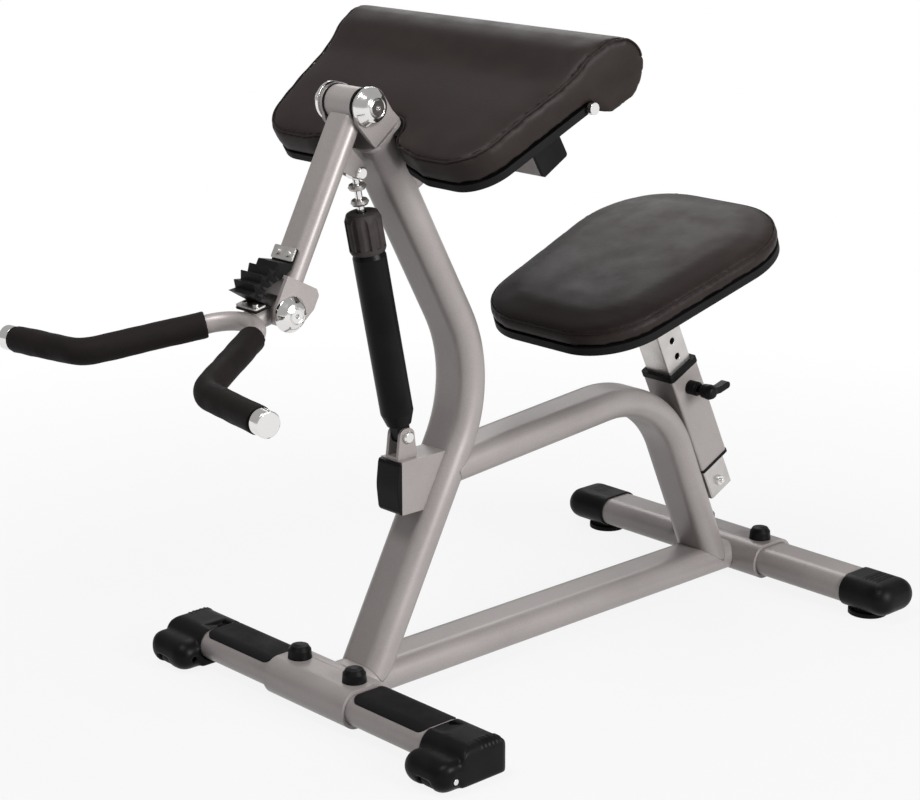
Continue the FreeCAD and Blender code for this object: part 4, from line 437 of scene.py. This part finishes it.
def stuffed_form(node, place, held_below):
    """The cover of a foam cushion: the solid's form, blown up a little by pressure while
    its underside is held, and smoothed."""
    form = even_copy(node, cushion_voxel)
    to_board = place.inverted()
    mesh = form.data
    held = form.vertex_groups.new(name="held")
    for vertex in mesh.vertices:
        if (to_board @ vertex.co).z < held_below:
            held.add([vertex.index], 1.0, "REPLACE")
    normals = [vertex.normal.copy() for vertex in mesh.vertices]
    for vertex, normal in zip(mesh.vertices, normals):
        vertex.co -= normal * cushion_slack
    start = [vertex.co.copy() for vertex in mesh.vertices]
    cloth = form.modifiers.new("stuffing", "CLOTH")
    cloth.settings.quality = 4
    cloth.settings.mass = 0.25
    cloth.settings.tension_stiffness = 40
    cloth.settings.compression_stiffness = 40
    cloth.settings.bending_stiffness = 8
    cloth.settings.use_pressure = True
    cloth.settings.uniform_pressure_force = 4
    cloth.settings.effector_weights.gravity = 0
    cloth.settings.vertex_group_mass = "held"
    cloth.collision_settings.use_collision = False
    for step in range(1, press_steps + 1):
        bpy.context.scene.frame_set(step)
    apply_modifiers(form)
    bpy.context.scene.frame_set(1)
    swell = [max(0, min(cushion_cap, (vertex.co - at).dot(normal)))
             for vertex, at, normal in zip(form.data.vertices, start, normals)]
    swell = calmed(form.data, swell, calm_rounds)
    for vertex, at, normal, high in zip(form.data.vertices, start, normals, swell):
        vertex.co = at + normal * high
    smooth = form.modifiers.new("smooth", "SMOOTH")
    smooth.factor = 0.5
    smooth.iterations = 4
    finer = form.modifiers.new("finer", "SUBSURF")
    finer.levels = 1
    apply_modifiers(form)
    return form


def dropped(tree, starts, ways):
    """The places where rays from the starts along the ways meet a form."""
    hits = []
    for start, way in zip(starts, ways):
        hit = tree.ray_cast(start, way)[0]
        if hit is not None:
            hits.append(hit)
    return hits


def evened(points, closed):
    """A path with its small steps averaged out."""
    for _ in range(3):
        last = len(points) - 1
        points = [
            point if not closed and index in (0, last)
            else (points[index - 1] + point * 2 + points[(index + 1) % len(points)]) / 4
            for index, point in enumerate(points)]
    return points


def sew_in(form, path, deep, wide, gather):
    """Draws the cover in along a seam, with a slight gather between the stitches."""
    tree = KDTree(len(path))
    for index, point in enumerate(path):
        tree.insert(point, index)
    tree.balance()
    mesh = form.data
    normals = [vertex.normal.copy() for vertex in mesh.vertices]
    for vertex, normal in zip(mesh.vertices, normals):
        _, index, away = tree.find(vertex.co)
        if away < wide * 3:
            pull = math.exp(-((away / wide) ** 2)) * (1 + gather * math.sin(index * gather_step))
            vertex.co -= normal * deep * pull


def corded(name, paths, thick, closed, material, body):
    """Round cord laid along each path: a seam's piping, a thread or a run of weld."""
    curve = bpy.data.curves.new(name, "CURVE")
    curve.dimensions = "3D"
    curve.bevel_depth = thick / 2
    curve.bevel_resolution = 2
    curve.use_fill_caps = True
    for path in paths:
        spline = curve.splines.new("POLY")
        spline.points.add(len(path) - 1)
        for point, at in zip(spline.points, path):
            point.co = (*at, 1)
        spline.use_cyclic_u = closed
    shape = bpy.data.objects.new(name + "_line", curve)
    bpy.context.collection.objects.link(shape)
    graph = bpy.context.evaluated_depsgraph_get()
    mesh = bpy.data.meshes.new_from_object(shape.evaluated_get(graph))
    bpy.data.objects.remove(shape)
    return new_piece(name, mesh, material, body)


def stitch_runs(path, stitch, gap):
    """Cuts a path into stitches of one length with a gap after each."""
    runs = []
    run = []
    gone = 0
    for first, last in zip(path, path[1:]):
        if gone % (stitch + gap) < stitch:
            run.append(first)
        elif len(run) > 1:
            runs.append(run)
            run = []
        else:
            run = []
        gone += (last - first).length
    return runs


def drawn_in(corners, inset):
    """The corners of an outline moved in towards its middle."""
    return [(x - math.copysign(inset, x), y - math.copysign(inset, y), radius - inset)
            for x, y, radius in corners]


def seam_above(tree, place, points):
    """A row of plan points laid on a cushion from above its board."""
    down = (place.to_3x3() @ Vector((0, 0, -1))).normalized()
    starts = [place @ Vector((x, y, cast_height)) for x, y in points]
    return dropped(tree, starts, [down] * len(starts))


seat_place = local_place(0.30835, 0.5098, 18.3)
seat_form = stuffed_form("seat_pad", seat_place, seat_held)
seat_tree = BVHTree.FromObject(seat_form, bpy.context.evaluated_depsgraph_get())
seam_rows = []
for inset in (seam_inset, seam_inset + thread_inset):
    outline = rounded(drawn_in(seat_corners, inset), outline_step)
    seam_rows.append(evened(seam_above(seat_tree, seat_place, outline), True))
sew_in(seat_form, seam_rows[0], seam_deep, seam_reach, seam_gather)
seat_cushion = new_piece("seat_cushion", seat_form.data, vinyl, "seat")
bpy.data.objects.remove(seat_form)
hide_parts("seat_pad")
corded("seat_seam", [seam_rows[0]], seam_thick, True, vinyl, "seat")
corded("seat_thread", stitch_runs(seam_rows[1], stitch_long, stitch_gap), thread_thick,
       False, thread_finish, "seat")

# The arm cushion is the same vinyl over foam that rolls up over its rear edge, with a
# notch for the arm in front. A flat end panel closes each side of the roll.
arm_place = local_place(-0.08665, 0.8627, 30.3)
pad_front, pad_half, pad_flare, pad_round = 0.158, 0.2395, 0.174, 0.062
notch_half, notch_mouth, notch_deep, notch_round = 0.043, 0.108, 0.061, 0.024
lip_share, mouth_share = 0.35, 0.4
roll_middle, roll_half, roll_top = 0.088, 0.047, 0.0155
roll_share = 0.85
roll_turns, turn_step = 47, 4
arm_held = -0.034


def arm_outline(inset, rear):
    """The arm cushion's outline from its right rear, round the front, to its left rear."""
    front = -pad_front + inset
    side = pad_half - inset
    narrow = side - pad_flare * pad_front
    wide = side + pad_flare * rear
    apex = front + notch_deep
    lip = -pad_front + notch_deep * lip_share
    right = [(wide, rear, 0), (narrow, front, pad_round - inset),
             (notch_mouth, front, notch_mouth * mouth_share), (notch_half + inset, lip, notch_round),
             (notch_half + inset, apex, notch_round + inset)]
    return right + [(-x, y, radius) for x, y, radius in right[::-1]]


def arm_seam(tree, inset):
    """From the roll's right rear over it, round the front, and over the roll again. Hits
    well inside the roll's round lie on its end panel and are left out."""
    flat = rounded(arm_outline(inset, roll_middle), outline_step, closed=False)
    front = seam_above(tree, arm_place, flat)
    starts, ways = [], []
    for step in range(1, roll_turns + 1):
        turn = math.radians(90 - turn_step * step)
        out = Vector((0, math.cos(turn), math.sin(turn))) * roll_half
        side = pad_half - inset + pad_flare * (roll_middle + out.y)
        hub = Vector((side, roll_middle, roll_top - roll_half))
        starts.append(arm_place @ (hub + out * 2))
        ways.append(arm_place.to_3x3() @ -out)
    right = dropped(tree, starts, ways)
    middle = arm_place @ Vector((pad_half, roll_middle, roll_top - roll_half))
    right = [at for at in right if (at - middle).yz.length > roll_half * roll_share]
    left = [Vector((-point.x, point.y, point.z)) for point in right]
    return evened(right[::-1] + front + left, False)


arm_form = stuffed_form("preacher_pad", arm_place, arm_held)
arm_tree = BVHTree.FromObject(arm_form, bpy.context.evaluated_depsgraph_get())
seam_rows = [arm_seam(arm_tree, inset) for inset in (seam_inset, seam_inset + thread_inset)]
sew_in(arm_form, seam_rows[0], seam_deep, seam_reach, seam_gather)
arm_cushion = new_piece("arm_cushion", arm_form.data, vinyl, "frame")
bpy.data.objects.remove(arm_form)
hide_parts("preacher_pad")
corded("arm_seam", [seam_rows[0]], seam_thick, False, vinyl, "frame")
corded("arm_thread", stitch_runs(seam_rows[1], stitch_long, stitch_gap), thread_thick,
       False, thread_finish, "frame")

# The boots on the crossbars' ends are moulded shells whose corners run over in long curves.
# The front ones have short ribs over their outer edge, the rear ones ribs across the top.
boot_voxel = 0.0018
rib_high, rib_pitch, rib_fade, rib_lean = 0.0013, 0.0066, 0.003, 0.05
front_calm, rear_calm = 16, 5
front_ribs, front_rib_deep = ((0.298, 0.318), (-0.293, -0.254)), 0.014
rear_ribs, rear_rib_deep = ((0.276, 0.309), (0.541, 0.586)), 0.006


def soft_boot(name, node, calm, ribs, deep, along):
    """A boot with run-over corners. Its ribs lie within a range of x and one of y, down to
    a depth under its top, and follow each other along x or y, which are axes 0 and 1."""
    form = even_copy(node, boot_voxel, calm)
    top = max(vertex.co.z for vertex in form.data.vertices)
    normals = [vertex.normal.copy() for vertex in form.data.vertices]
    for vertex, normal in zip(form.data.vertices, normals):
        place = (abs(vertex.co.x), vertex.co.y)
        edge = min(min(at - low, high - at) for at, (low, high) in zip(place, ribs))
        if edge > 0 and vertex.co.z > top - deep and normal.z > rib_lean:
            wave = max(0, math.cos(math.tau * place[along] / rib_pitch))
            vertex.co += normal * rib_high * wave * min(1, edge / rib_fade)
    boot = new_piece(name, form.data, black_plastic, "frame")
    bpy.data.objects.remove(form)
    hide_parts(node)


soft_boot("boot_right", "front_end_cap_right", front_calm, front_ribs, front_rib_deep, 1)
soft_boot("boot_left", "front_end_cap_left", front_calm, front_ribs, front_rib_deep, 1)
soft_boot("rear_boots", "rear_end_caps", rear_calm, rear_ribs, rear_rib_deep, 0)

# The grips are thick tubes of closed-cell foam pushed over the bent bar, a little lumpy
# and soft at their cut ends.
foam_skin = black_finish(
    "foam_skin", (0.0062, 0.0048, 0.0046, 1), (0.0135, 0.0102, 0.0096, 1),
    rough_range=(0.55, 0.8), scale=600, bump_share=0.4, radius=0.002)
grip_voxel, grip_calm = 0.0022, 5
lump_size, lump_high = 0.022, 0.0007
grip_form = even_copy("foam_grips", grip_voxel, grip_calm)
normals = [vertex.normal.copy() for vertex in grip_form.data.vertices]
for vertex, normal in zip(grip_form.data.vertices, normals):
    vertex.co += normal * lump_high * noise.noise(vertex.co / lump_size)
grips = new_piece("grips", grip_form.data, foam_skin, "handle")
bpy.data.objects.remove(grip_form)
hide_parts("foam_grips")

# The bellows is folded black rubber over the arm's hinge: five pleats with sharp lips and
# tucked sides. Its end flaps lie under screwed plates on the arm and on the handle.
bellows_rubber = black_finish(
    "bellows_rubber", (0.005, 0.005, 0.005, 1), (0.011, 0.01, 0.01, 1),
    rough_range=(0.35, 0.5), scale=900, bump_share=0.15, radius=0.0006)
hinge_place = Vector((0, -0.362654, 0.583962))
pleat_lip, pleat_root, pleat_back = 0.068, 0.0592, 0.044
pleat_first, pleat_step, pleat_count = 29, 13.3, 5
pleat_half, pleat_tuck = 0.021, 0.003
handle_lean, arm_lean = 11.8, 62.45
handle_face, arm_face, flap_thick = 0.01525, 0.014, 0.004
low_flap_end, low_flap_root = 0.0446, (0.0248, 0.0176)
high_flap_end, high_flap_root = 0.081, (0.0612, 0.054)
front_dip, back_inset = 0.0012, 0.001
lip_round, lip_angle = 0.0006, 25


def fan(reach, degrees):
    """A point in the hinge's side plane, by its reach and its angle up from the front."""
    turn = math.radians(degrees)
    return Vector((-reach * math.cos(turn), reach * math.sin(turn)))


def on_handle(along, above):
    return fan(along, -handle_lean) + fan(above, 90 - handle_lean)


def on_arm(along, above):
    return fan(along, 180 - arm_lean) + fan(above, 90 - arm_lean)


def bellows_ring(front, back, tuck):
    """One ring round the bellows, from its front edge round its tucked sides to its back."""
    shares = (-1, -0.9, -0.5, 0, 0.5, 0.9, 1)
    middle = (front + back) / 2
    corner = front - (front - back).normalized() * front_dip
    ring = [(share * pleat_half, corner if abs(share) == 1 else front) for share in shares]
    ring.append((pleat_half - tuck, middle))
    ring += [(share * (pleat_half - back_inset), back) for share in shares[::-1]]
    ring.append((tuck - pleat_half, middle))
    return [Vector((x, hinge_place.y + at.x, hinge_place.z + at.y)) for x, at in ring]


rings = [bellows_ring(on_handle(out, handle_face + flap_thick), on_handle(back, handle_face), 0)
         for out, back in ((low_flap_end, low_flap_end), low_flap_root)]
for pleat in range(pleat_count * 2 - 1):
    angle = pleat_first + pleat_step * pleat / 2
    folded = pleat % 2 == 1
    rings.append(bellows_ring(fan(pleat_root if folded else pleat_lip, angle),
                              fan(pleat_back, angle), pleat_tuck if folded else 0))
rings += [bellows_ring(on_arm(out, arm_face + flap_thick), on_arm(back, arm_face), 0)
          for out, back in (high_flap_root, (high_flap_end, high_flap_end))]
ring_count = len(rings[0])
faces = [tuple(range(ring_count))[::-1],
         tuple(range((len(rings) - 1) * ring_count, len(rings) * ring_count))]
for row in range(len(rings) - 1):
    for at in range(ring_count):
        after = (at + 1) % ring_count
        low, high = row * ring_count, (row + 1) * ring_count
        faces.append((low + at, low + after, high + after, high + at))
bellows_mesh = bpy.data.meshes.new("bellows_cover")
bellows_mesh.from_pydata([tuple(point) for ring in rings for point in ring], [], faces)
bellows_cover = new_piece("bellows_cover", bellows_mesh, bellows_rubber, None)
bellows_mesh.shade_flat()
lips = bellows_cover.modifiers.new("lips", "BEVEL")
lips.width = lip_round
lips.segments = 2
lips.limit_method = "ANGLE"
lips.angle_limit = math.radians(lip_angle)
apply_modifiers(bellows_cover)
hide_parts("bellows")
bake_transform(bellows_cover)
